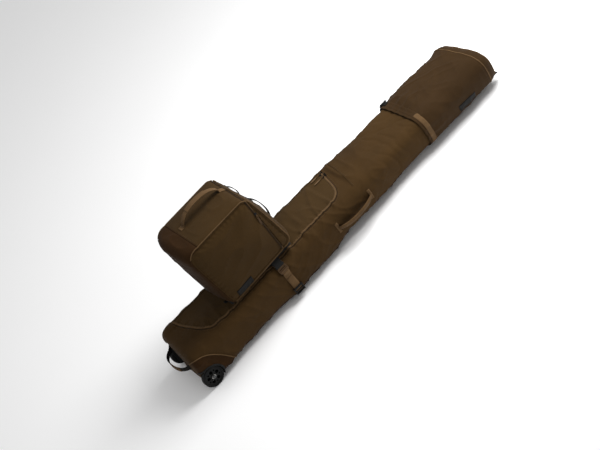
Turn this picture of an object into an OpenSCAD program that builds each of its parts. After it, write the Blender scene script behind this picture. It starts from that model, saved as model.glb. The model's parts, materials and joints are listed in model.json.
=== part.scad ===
// Wheeled ski bag lying on its back, with a boot pack strapped to its front.
// The bag's own frame: x runs from the base end to the top end, y across the width
// (right side at -y) and z from the back panel to the front. lay_down() puts it on its wheels.

/* [Bag] */
// Length from the base face to the top end
bag_l = 1950; // [1850:10:2050]
// Width of the lower bag
bag_w = 320; // [300:5:340]
// Depth of the lower bag, back to front
bag_d = 200; // [180:5:220]
// Radius of the four long corners
corner_r = 50; // [40:1:60]
// Thickness of the padded fabric walls
wall = 4; // [3:0.5:5]
// Where the upper section's hem lies
hem_x = 1513; // [1450:1:1550]
// How far the lower bag reaches up inside the upper section
overlap_l = 180; // [175:5:200]

/* [Wheels] */
// Outer radius of a wheel
wheel_r = 54; // [52:1:58]
// Width of a tyre
tyre_w = 26; // [20:1:28]
// Distance of the axle from the base face
wheel_x = 40; // [34:1:42]
// Height of the axle above the back panel
wheel_z = 40; // [36:1:44]
// Radius of the axle pin
axle_r = 4; // [3:0.5:5]

/* [Zips and straps] */
// Base end of the front flap
flap_x0 = 118; // [115:1:130]
// Top end of the front flap
flap_x1 = 1058; // [1000:1:1100]
// Width of a zip chain
zip_w = 10; // [8:1:12]
// Place of the lower compression strap
strap_x = 597; // [580:1:610]
// Width of the lower compression strap
strap_w = 38; // [30:1:40]
// Thickness of the webbing
web_t = 2.5; // [2:0.5:3]

/* [Boot pack] */
// Base end of the boot pack
pack_x0 = 288; // [280:1:300]
// Top end of the boot pack
pack_x1 = 728; // [700:1:740]
// Width of the boot pack
pack_w = 300; // [280:5:310]
// Height of the boot pack above the bag's front
pack_h = 410; // [380:5:420]
// Space under the boot pack for its shoulder straps
pack_gap = 24; // [24:1:28]
// Depth of the lid, measured along the pack
lid_l = 64; // [62:1:90]

/* [Hidden] */
$fn = 64;
gap = 0.4;                       // between soft panels of different bodies
half_w = bag_w / 2;
arc_y = half_w - corner_r;       // centre of a corner, from the middle
arc_z = bag_d - corner_r;
lower_end = hem_x + overlap_l;
wheel_y = half_w - tyre_w / 2;
well_r = wheel_r + 7;
hub_r = 38;
bearing_r = 11;
housing_y = wheel_y - tyre_w / 2 - 2;  // inner face of the wheel well
housing_z = wall + 6;            // where the housing clears the cap's rounded back edges
flap_edge = 5;                   // where the flap ends on the right corner, in degrees
zip_end = 17;                     // where the side panel starts
panel_seam = 45;                 // the flap's hinge seam on the left corner

sleeve_play = 1;                 // around the lower bag, inside the upper section
sleeve_out = sleeve_play + wall;

buckle_a = 45;                   // where the buckle lies on the corner, in degrees
buckle_w = 48;
buckle_t = 12;
female_l = 38;
male_l = 30;
lift = 1;                        // of webbing off the panel beneath it
strap_rise_y = 103;              // where the lower strap leaves the front, towards its buckle

slider_l = 18;
slider_w = 12;
slider_t = 3;
bar_r = 1.2;
bar_z = 7;
pull_l = 58;
lock_r = 2.5;
lug_t = 2.5;
lug_l = 10;
lug_h = 16;
slider_y = [66, 97];             // the two sliders on the flap's top run
slider_x = flap_x1 + zip_w / 2 + 1;

handle_x = [920, 1130];          // ends of the carry handle
handle_z = 112;
handle_y = -(half_w + 5);
handle_rise = 30;
handle_bow = 105;                // half of the chord between the handle's ends
handle_droop = 30;               // degrees below level
handle_t = 3;
handle_w = 24;
grip_r = 11;

base_handle_z = 125;
base_handle_span = 88;
base_handle_rise = 44;
base_axis_x = -5;
tab_l = 16;

pack_z0 = bag_d + pack_gap;
pack_z1 = bag_d + pack_h;
pack_half = pack_w / 2;
pack_slope = [58, 270];          // the cut across the pack's top front corner
pack_seam = 360;                 // end of the base panel on the front
pack_handle_x = [408, 632];
pack_handle_y = 20;
pack_handle_rise = 48;
pack_handle_half = (pack_handle_x[1] - pack_handle_x[0]) / 2;
haul_half = 64;                  // of the haul loop, along the end's slope
haul_up = 70;                    // of its middle above the foot of the slope
lid_x = pack_x1 - lid_l;
lid_pivot_z = pack_z0 + 14;
lid_gap = 1.5;                   // under the lid, where its corner turns
side_slider_z = 500;
far = 1000;                      // past everything

tilt = asin((wheel_r - wheel_z - sleeve_out) / (bag_l - wheel_x));
row_x = wheel_x - (bag_l + tab_l - base_handle_rise + base_axis_x) / 2;
grip_reach = -handle_y + (handle_rise - handle_t / 2) * cos(handle_droop) + grip_r;
row_y = (grip_reach - half_w - sleeve_out - lift - web_t) / 2;

FABRIC = [0.20, 0.15, 0.09];
TARP = [0.17, 0.12, 0.07];
WEBBING = [0.33, 0.24, 0.15];
BLACK = [0.05, 0.05, 0.05];
STEEL = [0.6, 0.6, 0.6];

// ---- placing and small shapes -------------------------------------------------------------

// Turns the bag about its axle until the wheels and the top end's back edge touch z = 0.
module lay_down()
    translate([row_x, row_y, wheel_r]) rotate([0, tilt, 0]) translate([-wheel_x, 0, -wheel_z]) children();

// Extrudes a (y, z) outline along x.
module along_x(x0, x1) translate([x0, 0, 0]) rotate([90, 0, 90]) linear_extrude(x1 - x0) children();

// Extrudes an (x, z) outline along y.
module along_y(y0, y1) translate([0, y1, 0]) rotate([90, 0, 0]) linear_extrude(y1 - y0) children();

module block(low, high) translate(low) cube(high - low);

module rounded_rect(low, high, r) {
    translate(low + [r, 0]) square([high[0] - low[0] - 2 * r, high[1] - low[1]]);
    translate(low + [0, r]) square([high[0] - low[0], high[1] - low[1] - 2 * r]);
    for (x = [low[0] + r, high[0] - r], y = [low[1] + r, high[1] - r]) translate([x, y]) circle(r);
}

// A rounded bar about an axis along y.
module bar_y(x, z, r, y0, y1) translate([x, y1, z]) rotate([90, 0, 0]) cylinder(r = r, h = y1 - y0);

module mirrored_y() mirror([0, 1, 0]) children();

// A stretch of a corner's wall, on the side where side is -1 or 1; 0 degrees faces the front.
module corner_arc(side, front, a0, a1, grow = 0, thick = wall) {
    reach = 2 * corner_r + 60;
    function ray(a) = [side * sin(a), front * cos(a)] * reach;
    translate([side * arc_y, front > 0 ? arc_z : corner_r]) intersection() {
        difference() {
            circle(corner_r + grow);
            circle(corner_r + grow - thick);
        }
        polygon([[0, 0], ray(a0), ray((a0 + a1) / 2), ray(a1)]);
    }
}

// The outline of a side panel: back corner, side and the rest of the front corner.
module side_outline(side, front_start, grow = 0) {
    corner_arc(side, 1, front_start, 90, grow);
    x0 = side > 0 ? half_w + grow - wall : -half_w - grow;
    translate([x0, corner_r]) square([wall, bag_d - 2 * corner_r]);
    corner_arc(side, -1, 0, 90, grow);
}

// The outline of the front: two part corners and the flat between them.
module front_outline(right_end, left_end, grow = 0) {
    corner_arc(-1, 1, 0, right_end, grow);
    translate([-arc_y, bag_d - wall + grow]) square([2 * arc_y, wall]);
    corner_arc(1, 1, 0, left_end, grow);
}

// ---- lower bag ------------------------------------------------------------------------------

module cap_form(inset) intersection() {
    along_x(inset, flap_x0 - zip_w - 1)
        rounded_rect([-half_w + inset, inset], [half_w - inset, bag_d - inset], corner_r - inset);
    along_y(-half_w, half_w)
        rounded_rect([inset, inset - 60], [300, bag_d - inset], 45 - inset);
}

module wheel_wells(r)
    for (side = [-1, 1])
        bar_y(wheel_x, wheel_z, r, side > 0 ? housing_y : -half_w - 9, side > 0 ? half_w + 9 : -housing_y);

module base_cap() color(TARP) difference() {
    cap_form(0);
    difference() {
        cap_form(wall);
        along_y(-half_w, half_w) square([wall, bag_d]);
    }
    wheel_wells(well_r + 0.2);
    translate([flap_x0 - zip_w - 1, -half_w, -1]) cube([20, bag_w, bag_d + 2]);
}

module side_panel(side) color(FABRIC)
    along_x(flap_x0 - zip_w - 0.8, lower_end) side_outline(side, side < 0 ? zip_end + 0.3 : panel_seam + 0.3);

module right_side_panel() side_panel(-1);
module left_side_panel() side_panel(1);

module back_panel() color(TARP)
    block([flap_x0 - zip_w - 0.8, -arc_y + 0.2, 0], [lower_end, arc_y - 0.2, wall]);

module front_flap() color(FABRIC)
    along_x(flap_x0, flap_x1) front_outline(flap_edge, panel_seam);

module front_panel() color(FABRIC)
    along_x(flap_x1 + zip_w + 2, lower_end) front_outline(zip_end, panel_seam);

// Two runs across the front and one along the right corner.
module flap_zip() color(BLACK) {
    along_x(flap_x0 - zip_w - 0.8, flap_x0 - 0.2) front_outline(zip_end, panel_seam);
    along_x(flap_x1 + 0.2, flap_x1 + zip_w + 1.8) front_outline(zip_end, panel_seam);
    along_x(flap_x0 - 0.2, flap_x1 + 0.2) corner_arc(-1, 1, flap_edge + 0.4, zip_end);
}

module back_stiffener() color(BLACK)
    block([flap_x0 + 10, -arc_y + 6, wall + 0.3], [lower_end - 260, arc_y - 6, wall + 3.3]);

module inner_straps() color(BLACK)
    for (x = [420, 1230]) block([x, -arc_y + 8, wall + 3.8], [x + 38, arc_y - 8, wall + 6]);

module inner_buckles() color(BLACK)
    for (x = [420, 1230])
        difference() {
            block([x - 5, -34, wall + 6.3], [x + 43, 22, wall + 15]);
            block([x - 1, -22, wall + 6], [x + 39, -12, wall + 16]);
        }

// ---- wheels ---------------------------------------------------------------------------------

// The moulded well around the wheel's inner half, with the boss that holds the axle.
module wheel_housing() color(BLACK) difference() {
    union() {
        intersection() {
            bar_y(wheel_x, wheel_z, well_r, -half_w, -housing_y + 4);
            block([wall + 0.5, -half_w, housing_z], [wheel_x + 90, 0, wheel_z + 80]);
        }
        bar_y(wheel_x, wheel_z, 20, -housing_y, -housing_y + 26);
        block([wall + 0.5, -housing_y, housing_z], [flap_x0 - zip_w - 2, -housing_y + 4, wheel_z + 10]);
    }
    bar_y(wheel_x, wheel_z, wheel_r + 3, -half_w - 1, -housing_y);
    bar_y(wheel_x, wheel_z, axle_r, -half_w, 0);
    block([-30, -half_w - 1, -40], [wall + 0.3, half_w, wheel_z + 80]);
}

module right_wheel_housing() wheel_housing();
module left_wheel_housing() mirrored_y() wheel_housing();

// Each pin runs from its boss to the rim's outer face, with a flat head at both ends.
module axle_pin() {
    bar_y(wheel_x, wheel_z, axle_r, -half_w - 1, -housing_y + 26.2);
    bar_y(wheel_x, wheel_z, 9, -half_w - 4, -half_w - 1);
    bar_y(wheel_x, wheel_z, 9, -housing_y + 26.2, -housing_y + 29);
}

module axle_pins() color(STEEL) {
    axle_pin();
    mirrored_y() axle_pin();
}

module tyre() color(BLACK) translate([wheel_x, -wheel_y, wheel_z]) rotate([90, 0, 0])
    rotate_extrude() difference() {
        translate([hub_r + 5, -tyre_w / 2]) rounded_tread();
        translate([0, -5]) square([hub_r + 5 + 3, 10]);
    }

module rounded_tread() {
    depth = wheel_r - hub_r - 5;
    round_r = 5;
    square([depth - round_r, tyre_w]);
    translate([0, round_r]) square([depth, tyre_w - 2 * round_r]);
    for (z = [round_r, tyre_w - round_r]) translate([depth - round_r, z]) circle(round_r);
}

// Five spokes between the bearing seat and the ring that carries the tyre.
module rim() color(BLACK) translate([wheel_x, -wheel_y, wheel_z]) rotate([90, 0, 0]) difference() {
    union() {
        translate([0, 0, -10]) cylinder(r = hub_r + 4.9, h = 20);
        translate([0, 0, -4.9]) cylinder(r = hub_r + 7.9, h = 9.8);
        translate([0, 0, -12.5]) cylinder(r = 15, h = 25);
    }
    translate([0, 0, -13]) cylinder(r = bearing_r, h = 26);
    for (i = [0:4]) rotate(72 * i + 20) translate([26.5, 0, -11]) cylinder(r = 9, h = 22);
    for (i = [0:4]) rotate(72 * i + 56) translate([31, 0, -11]) cylinder(r = 4.5, h = 22);
}

module bearings() color(STEEL) translate([wheel_x, -wheel_y, wheel_z]) rotate([90, 0, 0])
    for (z = [-12.5, 5.5]) translate([0, 0, z]) difference() {
        cylinder(r = bearing_r, h = 7);
        translate([0, 0, -1]) cylinder(r = axle_r + 0.06, h = 9);
    }

module right_tyre() tyre();
module right_rim() rim();
module right_bearings() bearings();
module left_tyre() mirrored_y() tyre();
module left_rim() mirrored_y() rim();
module left_bearings() mirrored_y() bearings();

// ---- handles --------------------------------------------------------------------------------

function bow_radius(half_span, rise) = (half_span * half_span + rise * rise) / (2 * rise);

// A webbing bow over a chord along local x, rising along local y, with its width along local z.
module bow(half_span, rise, thick, width, foot) {
    r = bow_radius(half_span, rise);
    translate([0, rise - r, 0]) linear_extrude(width, center = true) intersection() {
        difference() {
            circle(r);
            circle(r - thick);
        }
        translate([-half_span - 5, r - rise + foot]) square([2 * half_span + 10, rise + 10]);
    }
}

// Narrow feet at the bow's ends, where it turns on its stitching.
module feet(half_span, rise, foot, r) {
    big = bow_radius(half_span, rise);
    lean = half_span - sqrt(pow(big, 2) - pow(big - rise + foot, 2));
    for (side = [-1, 1])
        translate([side * (half_span - lean - 1.5), 0, 0]) rotate([-90, 0, 0]) cylinder(r = r, h = foot + 1);
}

module base_handle() color(WEBBING)
    translate([base_axis_x, 0, base_handle_z]) rotate([0, 0, 90]) {
        bow(base_handle_span, base_handle_rise, 3, 26, 14);
        feet(base_handle_span, base_handle_rise, 14, 1.5);
    }

module carry_handle() color(WEBBING)
    translate([(handle_x[0] + handle_x[1]) / 2, handle_y, handle_z]) rotate([handle_droop, 0, 0])
        mirror([0, 1, 0]) difference() {
            union() {
                bow(handle_bow, handle_rise, handle_t, handle_w, 11);
                feet(handle_bow, handle_rise, 11, handle_t / 2);
            }
            grip_form(grip_r + 0.1, 31);
        }

// The padded grip is a stretch of a ring over the middle of the bow.
module grip_form(r, angle) {
    big = bow_radius(handle_bow, handle_rise);
    translate([0, handle_rise - big, 0]) rotate(90 - angle / 2)
        rotate_extrude(angle = angle) translate([big - handle_t / 2, 0]) circle(r);
}

module carry_grip() color(WEBBING)
    translate([(handle_x[0] + handle_x[1]) / 2, handle_y, handle_z]) rotate([handle_droop, 0, 0])
        mirror([0, 1, 0]) grip_form(grip_r, 30.6);

// Stitched webbing patches where the two handles start.
module handle_anchors() color(WEBBING) {
    for (side = [-1, 1])
        translate([-1.6, side * (base_handle_span - 6), base_handle_z]) cube([2.6, 34, 30], center = true);
    for (x = handle_x)
        block([x - 22, -half_w - 2.8, handle_z - 28], [x + 22, -half_w - 0.3, handle_z + 28]);
}

// ---- lower compression strap --------------------------------------------------------------

buckle_out = corner_r + lift + 2;   // from the corner's centre to the buckle's underside
strap_lo = strap_x - strap_w / 2;

// Places children at the corner: local x along the strap towards the back, y along the bag, z outwards.
module at_buckle()
    translate([strap_x, -arc_y, arc_z]) rotate([buckle_a, 0, 0]) translate([0, 0, buckle_out])
        rotate([0, 0, -90]) children();

// From the left back seam, round the left side and over the front to the buckle's socket.
module front_strap() color(WEBBING) along_x(strap_lo, strap_lo + strap_w) {
    corner_arc(1, -1, 60, 90, lift + web_t, web_t);
    translate([half_w + lift, corner_r]) square([web_t, bag_d - 2 * corner_r]);
    corner_arc(1, 1, 0, 90, lift + web_t, web_t);
    translate([-strap_rise_y, bag_d + lift]) square([strap_rise_y + arc_y, web_t]);
    polygon([
        [-strap_rise_y, bag_d + lift], [-strap_rise_y, bag_d + lift + web_t],
        socket_end + [0, 1.2], socket_end - [0, 1.2]
    ]);
}
socket_end = [-arc_y, arc_z]
    + buckle_out * [-sin(buckle_a), cos(buckle_a)]
    + (female_l + 1.4) * [cos(buckle_a), sin(buckle_a)]
    + buckle_t / 2 * [-sin(buckle_a), cos(buckle_a)];
plug_end = [-arc_y, arc_z]
    + buckle_out * [-sin(buckle_a), cos(buckle_a)]
    - (male_l + 1.4) * [cos(buckle_a), sin(buckle_a)]
    + buckle_t / 2 * [-sin(buckle_a), cos(buckle_a)];

// Two plates and a closed end; the plug's arms show in the open sides.
module buckle_socket() color(WEBBING) at_buckle() {
    block([-female_l, -buckle_w / 2, 0], [0, buckle_w / 2, 2.5]);
    block([-female_l, -buckle_w / 2, buckle_t - 2.5], [0, buckle_w / 2, buckle_t]);
    block([-female_l, -buckle_w / 2, 2.5], [-female_l + 8, buckle_w / 2, buckle_t - 2.5]);
}

module buckle_plug() color(WEBBING) at_buckle() {
    difference() {
        block([0.5, -buckle_w / 2, 0], [male_l, buckle_w / 2, buckle_t]);
        block([male_l - 14, -strap_w / 2 - 0.5, -1], [male_l - 9, strap_w / 2 + 0.5, buckle_t + 1]);
    }
    block([-female_l + 12, -5, 3.5], [0.6, 5, buckle_t - 3.5]);
}

// One springy arm beside the plug's middle guide.
module buckle_arm(side) color(WEBBING) at_buckle() mirror([0, side > 0 ? 0 : 1, 0]) {
    translate([-2, 17, 3.2]) cylinder(r = 2, h = buckle_t - 6.4);
    block([-20, 15.5, 3.2], [-2, 18.5, buckle_t - 3.2]);
    block([-29, 15.5, 3.2], [-20, 22, buckle_t - 3.2]);
}
module buckle_arm_a() buckle_arm(1);
module buckle_arm_b() buckle_arm(-1);

// From the plug down the right side to the ladder lock.
module side_strap() color(WEBBING) along_x(strap_lo, strap_lo + strap_w) {
    polygon([
        plug_end + [0.6, 1], plug_end - [0.6, 1],
        [-half_w - lift - web_t, 118], [-half_w - lift, 118]
    ]);
    translate([-half_w - lift - web_t, 60]) square([web_t, 58]);
}

module ladder_lock() color(BLACK) difference() {
    block([strap_x - 25, -half_w - 11, 20], [strap_x + 25, -half_w - 1.5, 58]);
    block([strap_x - 19.5, -half_w - 12, 27], [strap_x + 19.5, -half_w - 1, 33]);
    block([strap_x - 19.5, -half_w - 12, 42], [strap_x + 19.5, -half_w - 1, 48]);
}

// ---- zip sliders and pulls -----------------------------------------------------------------

// A slider on the xy plane with its bar along local y; size is its length along x and y.
module slider(size) {
    translate([-size[0] / 2, -size[1] / 2, 0]) cube([size[0], size[1], slider_t]);
    for (side = [-1, 1]) translate([-3, side * 4.4 - 1, slider_t]) cube([6, 2, bar_z - slider_t + 2]);
    translate([0, 5, bar_z]) rotate([90, 0, 0]) cylinder(r = bar_r, h = 10);
}

// A pull hanging from the slider's bar along local -x.
module pull() {
    translate([0, 2.5, bar_z]) rotate([90, 0, 0]) difference() {
        union() {
            cylinder(r = 3.4, h = 5);
            translate([-pull_l, -1.2, 0]) cube([pull_l - 2.4, 2.4, 5]);
        }
        translate([0, 0, -1]) cylinder(r = bar_r + 0.4, h = 7);
    }
    translate([-pull_l, -4.5, bar_z - 2]) cube([34, 9, 4]);
}

// A slider that runs across the front, with an eye for a padlock's shackle.
module flap_slider(y) color(BLACK) translate([slider_x, y, bag_d + gap]) {
    slider([slider_w, slider_l]);
    translate([slider_w / 2 - 0.1, -slider_w / 2, 0]) cube([lug_l + 0.1, slider_w, slider_t]);
    difference() {
        translate([slider_w / 2, -lug_t / 2, 0]) cube([lug_l, lug_t, lug_h]);
        translate([slider_w / 2 + lug_l / 2, lug_t, lug_h - lug_l / 2]) rotate([90, 0, 0])
            cylinder(r = lock_r, h = 2 * lug_t);
    }
}
module flap_slider_a() flap_slider(slider_y[0]);
module flap_slider_b() flap_slider(slider_y[1]);

module flap_pull(y) color(WEBBING) translate([slider_x, y, bag_d + gap]) pull();
module flap_pull_a() flap_pull(slider_y[0]);
module flap_pull_b() flap_pull(slider_y[1]);

// ---- upper section --------------------------------------------------------------------------

module upper_side(side) color(FABRIC) along_x(hem_x, bag_l - 42) side_outline(side, panel_seam + 0.3, sleeve_out);
module upper_right_panel() upper_side(-1);
module upper_left_panel() upper_side(1);

module upper_front_panel() color(FABRIC)
    along_x(hem_x, bag_l - 42) front_outline(panel_seam, panel_seam, sleeve_out);

module upper_back_panel() color(TARP)
    block([hem_x, -arc_y + 0.2, -sleeve_out], [bag_l, arc_y - 0.2, -sleeve_play]);

module upper_cap_form(inset) {
    low = -sleeve_out + inset;
    high = bag_d + sleeve_out - inset;
    side = half_w + sleeve_out - inset;
    intersection() {
        along_x(bag_l - 100, bag_l - inset) rounded_rect([-side, low], [side, high], corner_r + sleeve_out - inset);
        along_y(-side, side) rounded_rect([bag_l - 300, low], [bag_l - inset, high], 40 - inset);
    }
}

module upper_cap() color(FABRIC) difference() {
    upper_cap_form(0);
    upper_cap_form(wall);
    block([bag_l - 120, -half_w - 20, -20], [bag_l - 41.8, half_w + 20, bag_d + 20]);
    block([bag_l - 120, -arc_y, -sleeve_out - 1], [bag_l + 1, arc_y, -sleeve_play + 0.2]);
}

// From the left back corner over the front and down the right side.
module upper_strap() color(WEBBING) along_x(hem_x + 26, hem_x + 51) {
    up = sleeve_out + lift + web_t;
    for (side = [-1, 1]) {
        corner_arc(side, 1, 0, 90, up, web_t);
        translate([side > 0 ? half_w + up - web_t : -half_w - up, corner_r]) square([web_t, bag_d - 2 * corner_r]);
    }
    translate([-arc_y, bag_d + up - web_t]) square([2 * arc_y, web_t]);
}

module upper_buckle() color(BLACK) translate([hem_x + 38.5, arc_y, arc_z]) rotate([-48, 0, 0])
    translate([-18, -19, corner_r + sleeve_out + lift + web_t + 0.3]) difference() {
        cube([36, 38, 9]);
        translate([5, 6, -1]) cube([26, 6, 11]);
        translate([5, 26, -1]) cube([26, 6, 11]);
    }

module upper_label() color(BLACK)
    block([1705, -half_w - sleeve_out - 1.6, 50], [1800, -half_w - sleeve_out - 0.2, 90]);

module upper_tab() color(BLACK)
    block([bag_l + 0.3, -half_w + 20, 40], [bag_l + tab_l, -half_w + 46, 43]);

// ---- boot pack ------------------------------------------------------------------------------

// The pack's outline from the side, in (x, z), drawn in by inset.
module pack_outline(inset) {
    r = 40 - inset;
    x0 = pack_x0 + inset;
    x1 = pack_x1 - inset;
    z0 = pack_z0 + inset;
    z1 = pack_z1 - inset;
    difference() {
        union() {
            rounded_rect([x0, z0], [x1 - pack_slope[0], z1], r);
            translate([x0 + 50, z0]) square([x1 - x0 - 50, z1 - z0 - r]);
            translate([x0 + 50, z0]) square([x1 - x0 - 50 - pack_slope[0] / 2, z1 - z0]);
        }
        polygon([
            [x1 + 20, z1 - pack_slope[1] - 20 * pack_slope[1] / pack_slope[0]],
            [x1 + 20, z1 + 20], [x1 - pack_slope[0] - 20 * pack_slope[0] / pack_slope[1], z1 + 20]
        ]);
    }
}

module pack_shell() difference() {
    along_y(-pack_half, pack_half) pack_outline(0);
    along_y(-pack_half + wall, pack_half - wall) pack_outline(wall);
}

// Keeps the part of its children between two places along the bag, above the lid's hinge.
module lid_slice(x0, x1) intersection() {
    children();
    block([x0, -far, lid_pivot_z - wall], [x1, far, far]);
}

module pack_lid() color(FABRIC) lid_slice(lid_x, far) pack_shell();

// Up one side, over the front and down the other side.
module pack_zip() color(BLACK) lid_slice(lid_x - gap - zip_w, lid_x - gap) pack_shell();

// What the lid and its zip take from the other panels.
module pack_end() block([lid_x - zip_w - 2 * gap, -far, lid_pivot_z - wall - lid_gap], [far, far, far]);

module pack_side(side) color(FABRIC) difference() {
    intersection() {
        pack_shell();
        block([0, side > 0 ? pack_half - wall : -pack_half, 0], [far, side > 0 ? pack_half : -pack_half + wall, far]);
    }
    pack_end();
}
module pack_right_panel() pack_side(-1);
module pack_left_panel() pack_side(1);

module pack_inside() block([0, -pack_half + wall + 0.2, 0], [far, pack_half - wall - 0.2, far]);

module pack_back_panel() color(BLACK) intersection() {
    pack_shell();
    pack_inside();
    block([pack_x0 + 41, -far, 0], [far, far, lid_pivot_z - wall - lid_gap]);
}

module pack_base_panel() color(TARP) intersection() {
    pack_shell();
    pack_inside();
    union() {
        block([0, -far, 0], [pack_x0 + 40.8, far, far]);
        block([0, -far, pack_z1 - 50], [pack_seam, far, far]);
    }
}

module pack_front_panel() color(FABRIC) intersection() {
    pack_shell();
    pack_inside();
    block([pack_seam + 0.2, -far, pack_z1 - 50], [lid_x - zip_w - 2 * gap, far, far]);
}

module pack_haul_loop() color(BLACK)
    translate([pack_x1, 0, pack_z1 - pack_slope[1]])
        rotate([0, -atan(pack_slope[0] / pack_slope[1]), 0]) translate([0.3, 0, haul_up])
        rotate([-90, 0, 0]) rotate([0, 0, -90]) bow(haul_half, 32, web_t, 20, 0);

module pack_label() color(BLACK)
    block([369, -pack_half - 1.6, 243], [465, -pack_half - 0.2, 283]);

module pack_handle() color(WEBBING)
    translate([(pack_handle_x[0] + pack_handle_x[1]) / 2, pack_handle_y, pack_z1 + 6]) rotate([90, 0, 0]) {
        bow(pack_handle_half - 1, pack_handle_rise, 6, 24, 13);
        feet(pack_handle_half - 1, pack_handle_rise, 13, 3);
    }

module pack_handle_anchors() color(WEBBING)
    for (x = pack_handle_x)
        block([x - 20, pack_handle_y - 16, pack_z1 + 0.3], [x + 20, pack_handle_y + 16, pack_z1 + 2.6]);

// A slider on the pack's side, its pull hanging towards the bag.
module on_pack_side(side)
    mirror([0, side > 0 ? 1 : 0, 0]) translate([lid_x - gap - zip_w / 2, -pack_half - gap, side_slider_z])
        rotate([90, 0, 0]) rotate([0, 0, 90]) children();
module pack_slider_a() color(BLACK) on_pack_side(-1) slider([slider_l, slider_w]);
module pack_slider_b() color(BLACK) on_pack_side(1) slider([slider_l, slider_w]);
module pack_pull_a() color(WEBBING) on_pack_side(-1) pull();
module pack_pull_b() color(WEBBING) on_pack_side(1) pull();

// Padded shoulder straps folded flat under the pack, and the webbing at their ends.
module shoulder_straps() color(BLACK)
    for (side = [-1, 1])
        block([400, side * 70 - 32, bag_d + lift + web_t + gap], [690, side * 70 + 32, pack_z0 - gap]);

module shoulder_webbing() color(BLACK)
    for (side = [-1, 1])
        block([310, side * 78 - 12, pack_z0 - 6], [399.6, side * 78 + 12, pack_z0 - 3]);

// ---- nodes ----------------------------------------------------------------------------------

lay_down() base_cap();
lay_down() right_side_panel();
lay_down() left_side_panel();
lay_down() back_panel();
lay_down() front_flap();
lay_down() front_panel();
lay_down() flap_zip();
lay_down() back_stiffener();
lay_down() inner_straps();
lay_down() inner_buckles();
lay_down() right_wheel_housing();
lay_down() left_wheel_housing();
lay_down() axle_pins();
lay_down() right_tyre();
lay_down() right_rim();
lay_down() right_bearings();
lay_down() left_tyre();
lay_down() left_rim();
lay_down() left_bearings();
lay_down() base_handle();
lay_down() carry_handle();
lay_down() carry_grip();
lay_down() handle_anchors();
lay_down() front_strap();
lay_down() buckle_socket();
lay_down() buckle_plug();
lay_down() buckle_arm_a();
lay_down() buckle_arm_b();
lay_down() side_strap();
lay_down() ladder_lock();
lay_down() flap_slider_a();
lay_down() flap_slider_b();
lay_down() flap_pull_a();
lay_down() flap_pull_b();
lay_down() upper_right_panel();
lay_down() upper_left_panel();
lay_down() upper_front_panel();
lay_down() upper_back_panel();
lay_down() upper_cap();
lay_down() upper_strap();
lay_down() upper_buckle();
lay_down() upper_label();
lay_down() upper_tab();
lay_down() pack_back_panel();
lay_down() pack_right_panel();
lay_down() pack_left_panel();
lay_down() pack_front_panel();
lay_down() pack_base_panel();
lay_down() pack_zip();
lay_down() pack_lid();
lay_down() pack_haul_loop();
lay_down() pack_label();
lay_down() pack_handle();
lay_down() pack_handle_anchors();
lay_down() pack_slider_a();
lay_down() pack_slider_b();
lay_down() pack_pull_a();
lay_down() pack_pull_b();
lay_down() shoulder_straps();
lay_down() shoulder_webbing();
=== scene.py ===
"""A wheeled ski bag with a boot pack strapped to its front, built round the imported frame.

Shapes are worked out in millimetres in the bag's own frame: x from the base end to the top end, y across (the
right side at -y) and z from the back to the front. to_row() places them in the row frame.
"""
import json
import math

import bmesh
import bpy
import numpy as np
from mathutils import Matrix, Vector, noise

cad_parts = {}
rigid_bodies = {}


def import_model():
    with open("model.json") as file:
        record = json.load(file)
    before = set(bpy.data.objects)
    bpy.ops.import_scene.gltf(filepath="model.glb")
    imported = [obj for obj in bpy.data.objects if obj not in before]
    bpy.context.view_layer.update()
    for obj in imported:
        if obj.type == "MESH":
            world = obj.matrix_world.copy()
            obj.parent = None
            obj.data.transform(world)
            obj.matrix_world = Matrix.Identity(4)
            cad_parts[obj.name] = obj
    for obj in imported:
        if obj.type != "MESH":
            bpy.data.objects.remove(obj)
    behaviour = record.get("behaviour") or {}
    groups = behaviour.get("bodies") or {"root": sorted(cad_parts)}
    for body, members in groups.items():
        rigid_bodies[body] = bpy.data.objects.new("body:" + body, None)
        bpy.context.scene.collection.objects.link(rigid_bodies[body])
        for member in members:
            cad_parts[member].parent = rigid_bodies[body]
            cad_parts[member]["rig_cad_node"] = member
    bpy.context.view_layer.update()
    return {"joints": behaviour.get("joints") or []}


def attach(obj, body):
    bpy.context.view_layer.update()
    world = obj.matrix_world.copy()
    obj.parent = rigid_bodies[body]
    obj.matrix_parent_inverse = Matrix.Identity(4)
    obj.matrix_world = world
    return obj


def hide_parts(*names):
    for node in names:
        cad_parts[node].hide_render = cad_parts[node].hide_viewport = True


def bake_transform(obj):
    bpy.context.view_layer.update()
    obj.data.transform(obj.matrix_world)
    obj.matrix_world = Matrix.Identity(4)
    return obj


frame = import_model()

# ---- the bag's own frame ------------------------------------------------------------------------

JOINTS = {j["name"]: j for j in frame["joints"]}
ALONG = Vector(JOINTS["length_adjust"]["axis"])
TILT = math.asin(-ALONG.z)
AXLE = Vector((40, 0, 40))                      # the axle in the bag's frame
WELL = 61                                       # radius of a wheel's well
WELL_Y = 132                                    # and its inner face
HALF_W, DEPTH, CORNER = 160, 200, 50            # the lower bag's section
HEM, LOWER_END, TOP_END = 1513, 1693, 1950      # where the sleeve starts, the lower bag ends and the sleeve ends
BASE_FACE, BASE_ROUND, BASE_DOME = 6, 38, 6     # the base end: its face, its edge's radius and its bulge
CAP_ROUND, CAP_DOME = 44, 10                    # the same of the top end
STRAP_X, STRAP_W = 597, 38
INNER_STRAPS_X = (439.0, 1249.0)
HANDLE_X, HANDLE_Z = 1025, 112
PACK_BASE_END = 366                             # where the pack's base panel ends
PACK_SEAM = 664                                 # where the pack's lid starts
PACK_ZIP = 658.6
PACK_HALF = 150
PACK_HANDLE_Y = 20.0
LABEL_RIM = 0.9                                 # height of a label's raised border
MERGE = 0.00002                                 # metres between points that are one

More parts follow.
